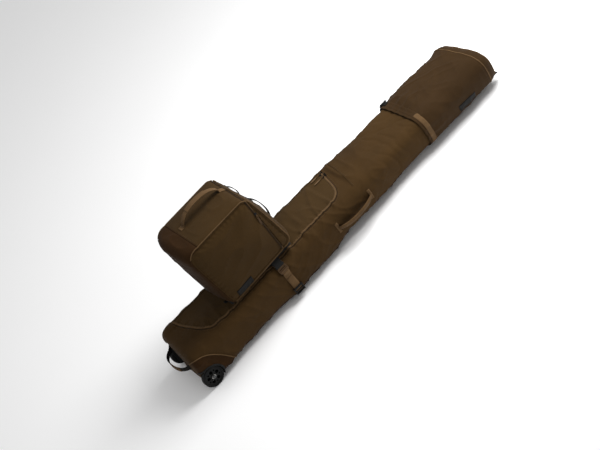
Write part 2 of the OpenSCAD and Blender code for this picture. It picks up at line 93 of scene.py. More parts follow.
right_wheel = Vector(JOINTS["right_wheel_spin"]["pos_m"])
left_wheel = Vector(JOINTS["left_wheel_spin"]["pos_m"])
AXLE_ROW = (right_wheel + left_wheel) / 2
TURN = Matrix.Rotation(TILT, 3, "Y")


def to_row(points):
    """Points in the bag's frame, in millimetres, to the row frame in metres."""
    return (np.asarray(points, float) - np.array(AXLE)) @ np.array(TURN).T / 1000 + np.array(AXLE_ROW)


def to_bag(points):
    """Points in the row frame, in metres, to the bag's frame in millimetres."""
    return (np.array(points) - np.array(AXLE_ROW)) * 1000 @ np.array(TURN) + np.array(AXLE)


# ---- small helpers ------------------------------------------------------------------------------

def ramp(low, high, value):
    t = np.clip((np.asarray(value, float) - low) / (high - low), 0, 1)
    return t * t * (3 - 2 * t)


def window(low, high, edge, value):
    return ramp(low - edge, low, value) * (1 - ramp(high, high + edge, value))


def bell(value, centre, width):
    return np.exp(-((np.asarray(value, float) - centre) / width) ** 2)


def stacked(*parts):
    """Arrays of numbers, or single ones, as an array of points."""
    return np.stack(np.broadcast_arrays(*parts), axis=-1)


def slid(points, by):
    """Points moved along the bag."""
    return points + stacked(by, by * 0, by * 0)


def noise_at(points, scale, seed=0.0):
    """Smooth noise from -1 to 1 at each point; scale is the size of a bump in millimetres along x, y and z."""
    sx, sy, sz = scale
    flat = np.asarray(points, float).reshape(-1, 3)
    found = [noise.noise(Vector((x / sx + seed, y / sy - seed, z / sz + 2 * seed))) for x, y, z in flat]
    return np.array(found).reshape(np.asarray(points).shape[:-1])


def ridges(points, scale, seed, narrow, power):
    """Creases: 1 on the lines where the noise is zero, falling to 0 beside them."""
    return np.clip(1 - np.abs(noise_at(points, scale, seed)) * narrow, 0, 1) ** power


def spline(points, count):
    """count points on a Catmull-Rom curve through the given ones, evenly spaced."""
    p = np.asarray(points, float)
    ext = np.vstack([2 * p[0] - p[1], p, 2 * p[-1] - p[-2]])
    fine = []
    for i in range(1, len(ext) - 2):
        a, b, c, d = ext[i - 1:i + 3]
        t = np.linspace(0, 1, 24, endpoint=False)[:, None]
        fine.append(0.5 * (2 * b + (c - a) * t + (2 * a - 5 * b + 4 * c - d) * t ** 2
                           + (3 * b - a - 3 * c + d) * t ** 3))
    fine = np.vstack(fine + [p[-1:]])
    return evenly(fine, count)


def resampled(values, path, count):
    """Values given at a path's points, at count evenly spaced places along it."""
    steps = np.r_[0, np.cumsum(np.linalg.norm(np.diff(path, axis=0), axis=1))]
    at = np.linspace(0, steps[-1], count)
    return np.stack([np.interp(at, steps, values[:, k]) for k in range(values.shape[1])], axis=1)


def evenly(points, count):
    points = np.asarray(points, float)
    return resampled(points, points, count)


def evenly_like(up, path, count):
    """Normals to go with evenly(path, count); one normal for the whole path stays as it is."""
    up = np.asarray(up, float)
    return up if up.ndim == 1 else resampled(up, path, count)


def length_of(points):
    return float(np.sum(np.linalg.norm(np.diff(points, axis=0), axis=1)))


def placed(name, data):
    """A new object in the scene."""
    thing = bpy.data.objects.new(name, data)
    bpy.context.collection.objects.link(thing)
    return thing


def piece(name, points, faces, material, body, nodes=()):
    """A mesh piece from points in the bag's frame, riding on a body (if named) and standing for CAD nodes."""
    mesh = bpy.data.meshes.new(name)
    mesh.from_pydata([tuple(p) for p in to_row(points)], [], [tuple(f) for f in faces])
    mesh.update()
    thing = placed(name, mesh)
    mesh.materials.append(material)
    for polygon in mesh.polygons:
        polygon.use_smooth = True
    turn_outwards(thing)
    if body:
        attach(thing, body)
    if nodes:
        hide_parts(*nodes)
    return thing


def turn_outwards(thing):
    shape = bmesh.new()
    shape.from_mesh(thing.data)
    bmesh.ops.remove_doubles(shape, verts=shape.verts, dist=MERGE)
    bmesh.ops.dissolve_degenerate(shape, edges=shape.edges, dist=MERGE)
    bmesh.ops.recalc_face_normals(shape, faces=shape.faces)
    shape.to_mesh(thing.data)
    shape.free()


def thicken(thing, millimetres, inwards=True):
    made = thing.modifiers.new("thickness", "SOLIDIFY")
    made.thickness = millimetres / 1000
    made.offset = -1 if inwards else 1
    return thing


def grid_faces(rows, columns, closed=False):
    """Faces of a grid of rows by columns of points; closed joins the last column to the first."""
    faces = []
    for r in range(rows - 1):
        here, above = r * columns, (r + 1) * columns
        for c in range(columns if closed else columns - 1):
            after = (c + 1) % columns
            faces.append((here + c, here + after, above + after, above + c))
    return faces


def counted_from(start, faces):
    return [tuple(start + i for i in f) for f in faces]


def slab(low, high, rows, columns):
    """Points and faces of two grids of points, one over the other, joined round their border."""
    low, high = low.reshape(-1, 3), high.reshape(-1, 3)
    rim = ([(0, c) for c in range(columns)] + [(r, columns - 1) for r in range(1, rows)]
           + [(rows - 1, c) for c in range(columns - 2, -1, -1)] + [(r, 0) for r in range(rows - 2, 0, -1)])
    rim = [r * columns + c for r, c in rim]
    start = len(low)
    faces = grid_faces(rows, columns) + counted_from(start, grid_faces(rows, columns))
    faces += [(one, two, start + two, start + one) for one, two in zip(rim, rim[1:] + rim[:1])]
    return np.vstack([low, high]), faces


def extrude(shape, under, over):
    """Adds to a bmesh the solid between two outlines."""
    under, over = [[shape.verts.new(spot) for spot in outline] for outline in (under, over)]
    shape.faces.new(under[::-1])
    shape.faces.new(over)
    for k in range(len(under)):
        after = (k + 1) % len(under)
        shape.faces.new((under[k], under[after], over[after], over[k]))


def frames_along(path, up):
    """Tangent, side and normal at each point of a path, where up gives the wanted normals."""
    tangent = np.gradient(path, axis=0)
    tangent /= np.linalg.norm(tangent, axis=1)[:, None]
    up = np.broadcast_to(np.asarray(up, float), path.shape)
    side = np.cross(tangent, up)
    side /= np.linalg.norm(side, axis=1)[:, None]
    return tangent, side, np.cross(side, tangent)


def sweep(name, path, up, section, material, body, nodes=(), closed=False):
    """Sweeps a section, a loop of (side, normal) points, along a path."""
    path = np.asarray(path, float)
    section = np.asarray(section, float)
    _, side, normal = frames_along(path, up)
    rings = (path[:, None, :] + section[None, :, :1] * side[:, None, :]
             + section[None, :, 1:] * normal[:, None, :])
    count = len(section)
    points = rings.reshape(-1, 3)
    faces = grid_faces(len(path), count, closed=True)
    if closed:
        start = (len(path) - 1) * count
        faces += [(start + c, start + (c + 1) % count, (c + 1) % count, c) for c in range(count)]
    else:
        faces += [tuple(range(count)), tuple(range(len(points) - count, len(points)))]
    return piece(name, points, faces, material, body, nodes)


def round_section(radius, sides=10):
    angles = np.arange(sides) * 2 * math.pi / sides
    return np.stack([radius * np.cos(angles), radius * np.sin(angles)], axis=1)


def flat_section(width, thick):
    """A webbing's section: flat, with its edges rounded off."""
    w, t = width / 2, thick / 2
    right = [(w - 0.6 * t, -t), (w, -0.45 * t), (w, 0.45 * t), (w - 0.6 * t, t)]
    left = [(-x, -y) for x, y in right]
    top = [(w * k, t) for k in (0.5, 0, -0.5)]
    under = [(-w * k, -t) for k in (0.5, 0, -0.5)]
    return right + top + left + under


def across_plane(path, axis):
    """Normals of a path in a plane, so that a strap along it stands on edge along the plane's axis."""
    tangent = np.gradient(np.asarray(path, float), axis=0)
    normal = np.cross(np.asarray(axis, float), tangent)
    return normal / np.linalg.norm(normal, axis=1)[:, None]


def webbing(name, path, up, width, thick, material, body, nodes=()):
    return sweep(name, path, up, flat_section(width, thick), material, body, nodes)


def cord_line(name, path, up, radius, material, body, nodes=()):
    return sweep(name, path, up, round_section(radius), material, body, nodes)


STITCH = [(x * size, y * size, z) for size, z in ((1, 0), (0.6, 1))
          for x, y in ((-1, -1), (-1, 1), (1, 1), (1, -1))]
STITCH_FACES = [(0, 1, 2, 3), (4, 5, 6, 7), (0, 1, 5, 4), (1, 2, 6, 5), (2, 3, 7, 6), (3, 0, 4, 7)]


def stitches(name, path, up, material, body, pitch=5.0, long=3.4, thick=0.9):
    """A row of single stitches along a path, as one piece."""
    count = max(2, int(length_of(path) / pitch))
    spots = evenly(path, count + 1)
    tangent, side, normal = frames_along(spots, evenly_like(up, path, count + 1))
    points, faces = [], []
    for p, t, s, n in zip(spots, tangent, side, normal):
        base = len(points)
        points += [p + t * x * long / 2 + s * y * thick / 2 + n * z * thick * 0.7 for x, y, z in STITCH]
        faces += counted_from(base, STITCH_FACES)
    return piece(name, points, faces, material, body)


# ---- materials -----------------------------------------------------------------------------------

class Nodes:
    """A material's node tree with short calls for the nodes used here."""

    def __init__(self, name):
        self.material = bpy.data.materials.new(name)
        self.material.use_nodes = True
        self.tree = self.material.node_tree
        self.shader = self.tree.nodes["Principled BSDF"]
        self.place = self.add("ShaderNodeTexCoord").outputs["Object"]

    def add(self, kind, **values):
        made = self.tree.nodes.new(kind)
        for key, value in values.items():
            setattr(made, key, value)
        return made

    def link(self, source, target):
        self.tree.links.new(source, target)

    def noise(self, scale, detail=3.0, stretch=(1, 1, 1), rough=0.55):
        moved = self.add("ShaderNodeMapping")
        moved.inputs["Scale"].default_value = stretch
        self.link(self.place, moved.inputs["Vector"])
        made = self.add("ShaderNodeTexNoise")
        for key, value in (("Scale", scale), ("Detail", detail), ("Roughness", rough)):
            made.inputs[key].default_value = value
        self.link(moved.outputs["Vector"], made.inputs["Vector"])
        return made.outputs["Fac"]

    def math(self, operation, first, second=None, clamp=False):
        made = self.add("ShaderNodeMath", operation=operation, use_clamp=clamp)
        for socket, value in zip(made.inputs, (first, second)):
            if value is None:
                continue
            if isinstance(value, (int, float)):
                socket.default_value = value
            else:
                self.link(value, socket)
        return made.outputs[0]

    def weave(self, threads):
        """Height of a plain weave with this many threads to a metre, from 0 to 1."""
        parts = self.add("ShaderNodeSeparateXYZ")
        self.link(self.place, parts.inputs[0])
        turns = threads * math.pi
        warp = self.math("SINE", self.math("MULTIPLY", parts.outputs["X"], turns))
        across = self.math("ADD", parts.outputs["Y"], parts.outputs["Z"])
        weft = self.math("SINE", self.math("MULTIPLY", across, turns))
        product = self.math("MULTIPLY", warp, weft)
        return self.math("MULTIPLY_ADD", product, 0.5)

    def blend(self, factor, low, high):
        made = self.add("ShaderNodeMix", data_type="RGBA")
        self.link(factor, made.inputs[0])
        for socket, value in ((made.inputs[6], low), (made.inputs[7], high)):
            if isinstance(value, tuple):
                socket.default_value = (*value, 1)
            else:
                self.link(value, socket)
        return made.outputs[2]

    def spread(self, factor, low, high):
        made = self.add("ShaderNodeMapRange")
        made.inputs["From Min"].default_value = low
        made.inputs["From Max"].default_value = high
        self.link(factor, made.inputs["Value"])
        return made.outputs["Result"]

    def bump(self, height, strength, distance, under=None):
        made = self.add("ShaderNodeBump")
        made.inputs["Strength"].default_value = strength
        made.inputs["Distance"].default_value = distance
        self.link(height, made.inputs["Height"])
        if under is not None:
            self.link(under, made.inputs["Normal"])
        return made.outputs["Normal"]

    def roughness(self, noise, spread, base):
        """A roughness that the noise varies from base upwards."""
        rough = self.math("MULTIPLY_ADD", noise, spread)
        rough.node.inputs[2].default_value = base
        return rough

    def finish(self, color, normal=None, roughness=None, shine=0.5, **fixed):
        for key, source in (("Base Color", color), ("Normal", normal), ("Roughness", roughness)):
            if source is not None:
                self.link(source, self.shader.inputs[key])
        self.shader.inputs["Specular IOR Level"].default_value = shine
        for key, value in fixed.items():
            self.shader.inputs[key.replace("_", " ").title()].default_value = value
        return self.material


def scaled(color, factor):
    return tuple(c * factor for c in color)


def cloth(name, color, threads=1400, sheen=0.02, fade=0.5, dust=(0.072, 0.043, 0.017)):
    """Woven cloth: tone that drifts, darker and lighter threads, light rubbing and dust."""
    n = Nodes(name)
    drift = n.spread(n.noise(4.5, 4), 0.3, 0.7)
    tone = n.blend(drift, scaled(color, 1 - 0.28 * fade), scaled(color, 1 + 0.30 * fade))
    threads_height = n.weave(threads)
    tone = n.blend(n.math("MULTIPLY", n.spread(n.noise(900, 2), 0.35, 0.65), 0.35), tone, scaled(color, 0.55))
    rubbed = n.spread(n.noise(26, 6, rough=0.7), 0.60, 0.86)
    tone = n.blend(n.math("MULTIPLY", rubbed, 0.22), tone, dust)
    creased = n.bump(n.noise(38, 4, stretch=(1, 1.6, 1.6)), 0.30, 0.004)
    normal = n.bump(threads_height, 0.35, 0.0005, creased)
    rough = n.roughness(n.noise(60, 3), 0.18, 0.72)
    return n.finish(tone, normal, rough, shine=0.06, sheen_weight=sheen, sheen_roughness=0.45)


def web(name, color, ribs=900):
    """Woven webbing: ribs across it, and edges of the same yarn."""
    n = Nodes(name)
    drift = n.spread(n.noise(18, 3), 0.3, 0.7)
    tone = n.blend(drift, scaled(color, 0.82), scaled(color, 1.15))
    height = n.weave(ribs)
    tone = n.blend(n.math("MULTIPLY", n.spread(n.noise(1200, 2), 0.4, 0.6), 0.35), tone, scaled(color, 0.6))
    normal = n.bump(height, 0.6, 0.0007, n.bump(n.noise(90, 3), 0.25, 0.0015))
    rough = n.roughness(n.noise(120, 3), 0.2, 0.62)
    return n.finish(tone, normal, rough, shine=0.08, sheen_weight=0.01, sheen_roughness=0.4)


def moulded(name, color, rough_base=0.42, grain=0.25):
    """Moulded plastic: fine spark-eroded grain, scuffs and a slight change of gloss."""
    n = Nodes(name)
    scuffs = n.spread(n.noise(70, 7, rough=0.75), 0.62, 0.80)
    tone = n.blend(scuffs, color, tuple(c * 1.4 + 0.004 for c in color))
    normal = n.bump(n.noise(1500, 3), grain, 0.0003, n.bump(n.noise(25, 3), 0.08, 0.002))
    rough = n.roughness(n.noise(160, 5), 0.25, rough_base - 0.1)
    return n.finish(tone, normal, rough, shine=0.10)


def metal(name, color):
    n = Nodes(name)
    tone = n.blend(n.spread(n.noise(120, 5), 0.4, 0.7), scaled(color, 0.75), color)
    normal = n.bump(n.noise(700, 3, stretch=(1, 12, 1)), 0.2, 0.0003)
    rough = n.roughness(n.noise(90, 4), 0.25, 0.22)
    return n.finish(tone, normal, rough, metallic=1.0)


def teeth(name, color):
    """A coil zip: ridges across its run, darker in their grooves and lighter on their crests: painted shade and
    painted highlight.
    """
    n = Nodes(name)
    height = n.weave(640)
    # painted shade and highlight: the colour follows the ridges' height, darker where they are low and lighter where
    # they are high
    tone = n.blend(height, scaled(color, 0.5), scaled(color, 1.3))
    normal = n.bump(height, 0.9, 0.001)
    rough = n.roughness(n.noise(200, 3), 0.2, 0.45)
    return n.finish(tone, normal, rough, shine=0.08)


CLOTH = cloth("bag_cloth", (0.046, 0.0255, 0.0085))
CLOTH_SIDE = cloth("side_cloth", (0.044, 0.0230, 0.0070))
SLEEVE_CLOTH = cloth("sleeve_cloth", (0.032, 0.0168, 0.0060))
PACK_CLOTH = cloth("pack_cloth", (0.040, 0.0215, 0.0065), fade=0.6)
COATED = cloth("coated_cloth", (0.028, 0.0125, 0.0035), threads=900, sheen=0.01, fade=0.7)
LIGHT_WEB = web("brown_webbing", (0.105, 0.060, 0.026))
HANDLE_CLOTH = web("handle_cloth", (0.085, 0.047, 0.019), ribs=1100)
PIPING = web("piping_tape", (0.098, 0.057, 0.025), ribs=1300)
BLACK_WEB = web("black_webbing", (0.010, 0.009, 0.008))
BLACK_MESH = cloth("black_mesh", (0.018, 0.017, 0.016), threads=420, sheen=0.02, dust=(0.05, 0.045, 0.04))
THREAD = web("sewing_thread", (0.11, 0.07, 0.038), ribs=2400)
DARK_THREAD = web("dark_thread", (0.030, 0.020, 0.011), ribs=2400)
ZIP = teeth("zip_chain", (0.022, 0.012, 0.005))
BLACK_PLASTIC = moulded("black_plastic", (0.008, 0.008, 0.0076))
BROWN_PLASTIC = moulded("brown_plastic", (0.060, 0.034, 0.016))
LIGHT_GRIP = moulded("light_grip", (0.110, 0.066, 0.032))
TYRE = moulded("tyre_rubber", (0.007, 0.007, 0.0066), rough_base=0.62, grain=0.5)
LABEL = moulded("label_rubber", (0.005, 0.0045, 0.004), rough_base=0.5, grain=0.6)
STEEL = metal("zinc_steel", (0.62, 0.61, 0.58))
DARK_STEEL = metal("blackened_steel", (0.10, 0.10, 0.10))

# ---- the lower bag's surface ---------------------------------------------------------------------

ARC = CORNER * math.pi / 2
FRONT_EDGE = HALF_W - CORNER                     # where the front's flat ends, round the section
SIDE_START = FRONT_EDGE + ARC
SIDE_END = SIDE_START + DEPTH - 2 * CORNER
BACK_EDGE = SIDE_END + ARC
HALF_ROUND = BACK_EDGE + FRONT_EDGE
SIDE_MIDDLE = (SIDE_START + SIDE_END) / 2
WEDGE = 100                                      # how far an end's rings shrink, to a line


def section(around):
    """Points and normals of the section at each distance round it, counted from the front's middle to the right."""
    a = np.abs(np.asarray(around, float))
    side = np.where(np.asarray(around, float) < 0, 1.0, -1.0)
    front = np.clip((a - FRONT_EDGE) / CORNER, 0, math.pi / 2)
    back = np.clip((a - SIDE_END) / CORNER, 0, math.pi / 2)
    y = np.minimum(a, FRONT_EDGE) + CORNER * np.sin(front)
    z = DEPTH - CORNER + CORNER * np.cos(front) - np.clip(a - SIDE_START, 0, DEPTH - 2 * CORNER)
    y = np.where(a > SIDE_END, FRONT_EDGE + CORNER * np.cos(back) - np.clip(a - BACK_EDGE, 0, None), y)
    z = np.where(a > SIDE_END, CORNER - CORNER * np.sin(back), z)
    ny = np.where(a > SIDE_END, np.cos(back), np.sin(front))
    nz = np.where(a > SIDE_END, -np.sin(back), np.cos(front))
    return side * y, z, side * ny, nz


# The flap's border, as (x, distance round the section) from the left base corner to the left top corner.
FLAP_BORDER = spline([
    (94, -118), (119, -28), (145, 37), (170, 82), (197, 101), (248, 113), (330, 116), (420, 115), (650, 114),
    (880, 113), (950, 112), (990, 107), (1020, 90), (1040, 58), (1053, 10), (1062, -40), (1070, -80), (1076, -122)
], 420)


def border_pucker(x, around):
    """Small gathers beside the flap's zip."""
    spots = FLAP_BORDER[::6]
    steps = np.arange(len(spots)) * 6 * 2.9
    flat_x, flat_a = x.ravel(), around.ravel()
    distance = np.hypot(flat_x[:, None] - spots[None, :, 0], flat_a[:, None] - spots[None, :, 1])
    nearest = distance.argmin(axis=1)
    d = distance[np.arange(len(flat_x)), nearest]
    wave = np.sin(steps[nearest] / 9.5 + 1.7 * np.sin(steps[nearest] / 61))
    gathers = 2.3 * wave * np.exp(-(d / 30) ** 2) * (1 - np.exp(-(d / 7) ** 2)) - 1.6 * np.exp(-(d / 9) ** 2)
    return gathers.reshape(x.shape)


def slack(x, around):
    """How far the cloth hangs in at the back's edges, where nothing fills it, and at the left front edge."""
    low = bell(np.abs(around), SIDE_END + 45, 72) * (ramp(110, 260, x) * 12 + ramp(820, 980, x) * 19)
    held = 1 - 0.8 * bell(x, STRAP_X, 60)
    front = bell(around, -143, 55) * (11 * ramp(1130, 1230, x) - 8 * window(40, 300, 50, x))
    return -low * held - front


def lower_relief(x, around):
    """How far the lower bag's cloth stands out from the plain section, in millimetres."""
    a = np.abs(around)
    y, z, _, _ = section(around)
    spots = stacked(x, y, z)
    under_sleeve = ramp(1215, 1325, x)
    under_pack = window(300, 700, 50, x)
    crown = 7 * np.clip(np.cos(math.pi * around / 260), 0, 1) * (1 - 0.85 * under_pack) * (a < 130)
    sides = 5 * np.clip(np.cos(math.pi * (a - SIDE_MIDDLE) / 190), 0, 1)
    soft = 4.6 * noise_at(spots, (260, 120, 90), 3.1)
    folds = 4.2 * ridges(slid(spots, z * 0.8), (70, 260, 120), 7.7, 2.2, 3)
    drag = ridges(slid(spots, -z * 1.1), (64, 210, 150), 19.0, 2.4, 3)
    folds = folds + 3.6 * drag * (0.4 + 0.6 * ramp(560, 700, x))
    ripples = 1.7 * noise_at(spots, (38, 60, 44), 1.3)
    flat_back = 1 - 0.85 * ramp(BACK_EDGE - 30, BACK_EDGE, a)
    strap = -4.0 * bell(x, STRAP_X, 24) * (a < SIDE_END)
    gathered = bell(x, STRAP_X, 70) * 1.8 * np.sin(a / 8.5 + 0.9 * np.sin(a / 31)) * (1 - bell(x, STRAP_X, 20))
    held = 1 - 0.8 * under_pack * (a < FRONT_EDGE)
    sides = sides * (1 - 0.9 * bell(x, AXLE.x, 110))
    soft = soft * (1 - 0.8 * bell(x, AXLE.x, 80) * (a > SIDE_START))
    relief = (crown + sides + soft * held + (folds + ripples) * held + gathered * 0.5) * flat_back + strap
    relief = relief + border_pucker(x, around)
    track = window(990, 1090, 22, x) * window(-128, 118, 22, around)
    top_left = 13 * bell(a, 165, 80) * (around < 0) * ramp(1490, 1590, x)
    creased = 3.4 * ridges(slid(spots, y * 0.5), (46, 110, 90), 41.0, 2.2, 2.5)
    creased = creased + 1.6 * (1 + noise_at(spots, (30, 44, 40), 43.0))
    creased = creased * (a < BACK_EDGE) * (1 - 0.8 * ramp(SIDE_END, BACK_EDGE, a))
    relief = relief * (1 - 0.94 * track) * (1 - under_sleeve) + (0.2 - top_left - creased) * under_sleeve
    return relief + slack(x, around) * (1 - track)


def shrunk(points, inset):
    """Draws points in towards the section's middle line."""
    half = DEPTH / 2
    y = points[..., 1] * (HALF_W - inset) / HALF_W
    z = half + (points[..., 2] - half) * (half - inset) / half
    return stacked(points[..., 0], y, z)


def over_section(x, around, out, turn, radius, way, lift):
    """Points out from the section, drawn in where turn goes to 1 round the edge of an end that faces way."""
    y, z, ny, nz = section(around)
    flat = np.sqrt(1 - turn ** 2)
    points = shrunk(stacked(x, y + ny * out, z + nz * out), radius * (1 - flat))
    return points + np.asarray(lift)[..., None] * stacked(way * turn, ny * flat, nz * flat)


def lower_surface(x, around, lift=0.0):
    """Points on the lower bag's cloth, lift millimetres out of it; the base end's edges are rounded."""
    x, around = np.broadcast_arrays(np.asarray(x, float), np.asarray(around, float))
    start = BASE_FACE + BASE_ROUND
    out = lower_relief(np.maximum(x, start), around)
    turn = np.clip((start - x) / BASE_ROUND, 0, 1)
    points = over_section(x, around, out, turn, BASE_ROUND, -1, lift)
    return slid(points, (1 - ramp(20, 170, x)) * (3 + 10 * section(around)[0] / HALF_W))


def normals_of(around):
    _, _, ny, nz = section(around)
    return stacked(0.0, ny, nz)


def face_rings(edge, dome, sign, seed, count=12):
    """Rings that close an end, from its edge ring to a line across its middle."""
    rings = []
    for k in range(1, count + 1):
        t = k / count
        ring = shrunk(edge, t * WEDGE)
        dents = 2.5 * noise_at(ring, (60, 70, 60), seed)
        ring[:, 0] += sign * dome * (1 - (1 - t) ** 2.2) + dents * ramp(0, 0.3, t)
        rings.append(ring)
    return rings


def lower_shell():
    columns = 168
    around = np.linspace(-HALF_ROUND, HALF_ROUND, columns, endpoint=False)
    edge = [BASE_FACE + BASE_ROUND * (1 - math.cos(math.pi / 2 * k / 10)) for k in range(10)]
    edge = [lower_surface(np.full(columns, x), around) for x in edge]
    rings = face_rings(edge[0], BASE_DOME, -1, 5.5)[::-1] + edge
    for x in np.arange(BASE_FACE + BASE_ROUND + 6, LOWER_END + 1, 6):
        rings.append(lower_surface(np.full(columns, x), around))
    points = np.array(rings)
    faces = grid_faces(len(rings), columns, closed=True)
    shell = piece("lower_bag_shell", points.reshape(-1, 3), faces, CLOTH_SIDE,
                  "ski_bag", ["base_cap", "right_side_panel", "left_side_panel", "back_panel", "front_panel",
                              "back_stiffener"])
    cut_wells(shell)
    thicken(shell, 3)
    return shell


def cut_wells(thing):
    """Cuts the two wheel wells out of a piece of the lower bag."""
    shape = bmesh.new()
    shape.from_mesh(thing.data)
    inside = {}
    for v in shape.verts:
        spot = to_bag(v.co)
        reach = math.hypot(spot[0] - AXLE.x, spot[2] - AXLE.z)
        if abs(spot[1]) > WELL_Y and reach < WELL:
            inside[v] = (spot, reach)
    gone = [f for f in shape.faces if all(v in inside for v in f.verts)]
    bmesh.ops.delete(shape, geom=gone, context="FACES")
    for v, (spot, reach) in inside.items():
        if not v.is_valid:
            continue
        if abs(spot[1]) - WELL_Y < WELL - reach:
            spot[1] = math.copysign(WELL_Y, spot[1])
        else:
            spot[0] = AXLE.x + (spot[0] - AXLE.x) * WELL / reach
            spot[2] = AXLE.z + (spot[2] - AXLE.z) * WELL / reach
        v.co = Vector(to_row(spot))
    shape.to_mesh(thing.data)
    shape.free()


def side_at(z):
    """Distance round the section of the right side's cloth at a height."""
    if z >= CORNER:
        return SIDE_START + DEPTH - CORNER - z
    return SIDE_END + CORNER * math.asin(min(1, (CORNER - z) / CORNER))


def wheel_arches():
    """A moulded lip round each wheel well."""
    for name, side in (("right", 1), ("left", -1)):
        angles = np.radians(np.linspace(121, -26, 60))
        x = AXLE.x + (WELL + 2.5) * np.cos(angles)
        z = AXLE.z + (WELL + 2.5) * np.sin(angles)
        around = np.array([side_at(h) for h in z]) * side
        path = lower_surface(x, around, 1.5)
        sweep(f"{name}_wheel_arch", path, normals_of(around), flat_section(9, 5), BLACK_PLASTIC, "ski_bag")


# ---- panels, piping and zips on the lower bag ---------------------------------------------------

def overlay(name, border_low, border_high, around, material, body, nodes=(), lift=2.4, surface=None,
            columns=90):
    """A panel sewn on the surface between two borders, x as a function of the distance round the section."""
    surface = surface or lower_surface
    low = np.array([border_low(a) for a in around])
    high = np.array([border_high(a) for a in around])
    t = 0.5 - 0.5 * np.cos(np.linspace(0, math.pi, columns))
    x = low[:, None] + (high - low)[:, None] * t[None, :]
    a = np.repeat(np.asarray(around, float)[:, None], columns, axis=1)
    from_end = np.minimum(x - low[:, None], high[:, None] - x)
    from_side = np.minimum(a - around[0], around[-1] - a)
    edge = ramp(0, 9, np.minimum(from_end, from_side))
    points = surface(x, a, lift * edge - 0.6 * (1 - edge))
    made = piece(name, points.reshape(-1, 3), grid_faces(len(around), columns), material, body, nodes)
    return thicken(made, 1.6)


def border_at(points, low_half):
    """x of the flap's border as a function of the distance round; low_half picks the base or the top run."""
    middle = int(np.argmax(points[:, 1]))
    run = points[:middle + 1] if low_half else points[middle:][::-1]
    return lambda a: float(np.interp(a, run[:, 1], run[:, 0]))


def flap():
    far_edge, near_edge = -118, float(FLAP_BORDER[:, 1].max())
    t = np.linspace(0, 1, 120)
    around = far_edge + (near_edge - 0.2 - far_edge) * (1 - (1 - t) ** 2.2)
    overlay("front_flap_cloth", border_at(FLAP_BORDER, True), border_at(FLAP_BORDER, False), around, CLOTH,
            "ski_bag", ["front_flap"], columns=170)


def along_surface(points, count, lift, surface=None):
    """A path on the cloth through (x, distance round) points, and its normals."""
    surface = surface or lower_surface
    run = spline(points, count)
    return surface(run[:, 0], run[:, 1], lift), normals_of(run[:, 1])


def shifted(border, by):
    """A border moved sideways by some millimetres, away from the flap."""
    tangent = np.gradient(border, axis=0)
    tangent /= np.linalg.norm(tangent, axis=1)[:, None]
    return border + by * np.stack([-tangent[:, 1], tangent[:, 0]], axis=1)


def flap_trim():
    welt = lower_surface(FLAP_BORDER[:, 0], FLAP_BORDER[:, 1], 2.6)
    up = normals_of(FLAP_BORDER[:, 1])
    sweep("flap_welt", welt, up, flat_section(10, 3.6), PIPING, "ski_bag")
    chain = shifted(FLAP_BORDER, 6.6)
    sweep("flap_zip_chain", lower_surface(chain[:, 0], chain[:, 1], 0.3), normals_of(chain[:, 1]),
          flat_section(4, 2.4), ZIP, "ski_bag", ["flap_zip"])
    for name, by in (("flap_stitches", -7.5), ("zip_tape_stitches", 15.5)):
        row = shifted(FLAP_BORDER, by)
        path = lower_surface(row[:, 0], row[:, 1], 2.2 if by < 0 else 0.2)
        stitches(name, path, normals_of(row[:, 1]), THREAD, "ski_bag")


WHEEL_PIPING = [(6, 152), (22, 159), (48, 166), (70, 174), (92, 190), (112, 213), (134, 243), (152, 274), (184, 334),
                (190, 350)]


def wheel_guard(side):
    """Coated cloth round the corner by a wheel, edged with piping."""
    border = spline(WHEEL_PIPING, 160)
    around = np.linspace(border[0, 1] + 0.5, border[-1, 1], 90)

    def high(a):
        return float(np.interp(abs(a), border[:, 1], border[:, 0]))

    where = around if side < 0 else -around[::-1]
    name = "right" if side < 0 else "left"
    guard = overlay(f"{name}_wheel_guard", lambda a: 6.0, high, where, COATED, "ski_bag",
                    lift=1.7, columns=60)
    cut_wells(guard)
    rounded = border * [1, -side]
    path = lower_surface(rounded[:, 0], rounded[:, 1], 2.0)
    cord_line(f"{name}_guard_piping", path, normals_of(rounded[:, 1]), 2.6, PIPING, "ski_bag")
    inner = shifted(border, 7.0) * [1, -side]
    stitches(f"{name}_guard_stitches", lower_surface(inner[:, 0], inner[:, 1], 0.3), normals_of(inner[:, 1]),
             THREAD, "ski_bag")


def back_cover():
    """Coated cloth over the back, from the wheels to where the sleeve slides."""
    reach = BACK_EDGE - 26
    around = np.linspace(reach, 2 * HALF_ROUND - reach, 60)

    def surface(x, a, lift):
        return lower_surface(x, np.where(a > HALF_ROUND, a - 2 * HALF_ROUND, a), lift)

    overlay("back_cover", lambda a: 60.0, lambda a: HEM - 188.0, around, COATED, "ski_bag",
            lift=0.9, surface=surface, columns=120)
    for name, a in (("right", reach), ("left", -reach)):
        x = np.arange(185, HEM - 184, 6.0)
        row = np.full_like(x, a)
        cord_line(f"{name}_back_piping", lower_surface(x, row, 1.4), normals_of(row), 2.4, COATED, "ski_bag")


def side_seams():
    """The seam on the left front corner, and the one that crosses the front above the zip."""
    x = np.arange(96, 1076, 6.0)
    row = np.full_like(x, -120)
    cord_line("left_seam_piping", lower_surface(x, row, 1.2), normals_of(row), 2.4, CLOTH, "ski_bag")
    path, up = along_surface([(1098, 132), (1112, 60), (1120, 0), (1126, -60), (1130, -128)], 90, 0.8)
    cord_line("front_seam", path, up, 1.8, CLOTH, "ski_bag")
    stitches("front_seam_stitches", path + [6, 0, 0.2], up, THREAD, "ski_bag")


# ---- the upper section ----------------------------------------------------------------------------

SLEEVE_STRAP = HEM + 24


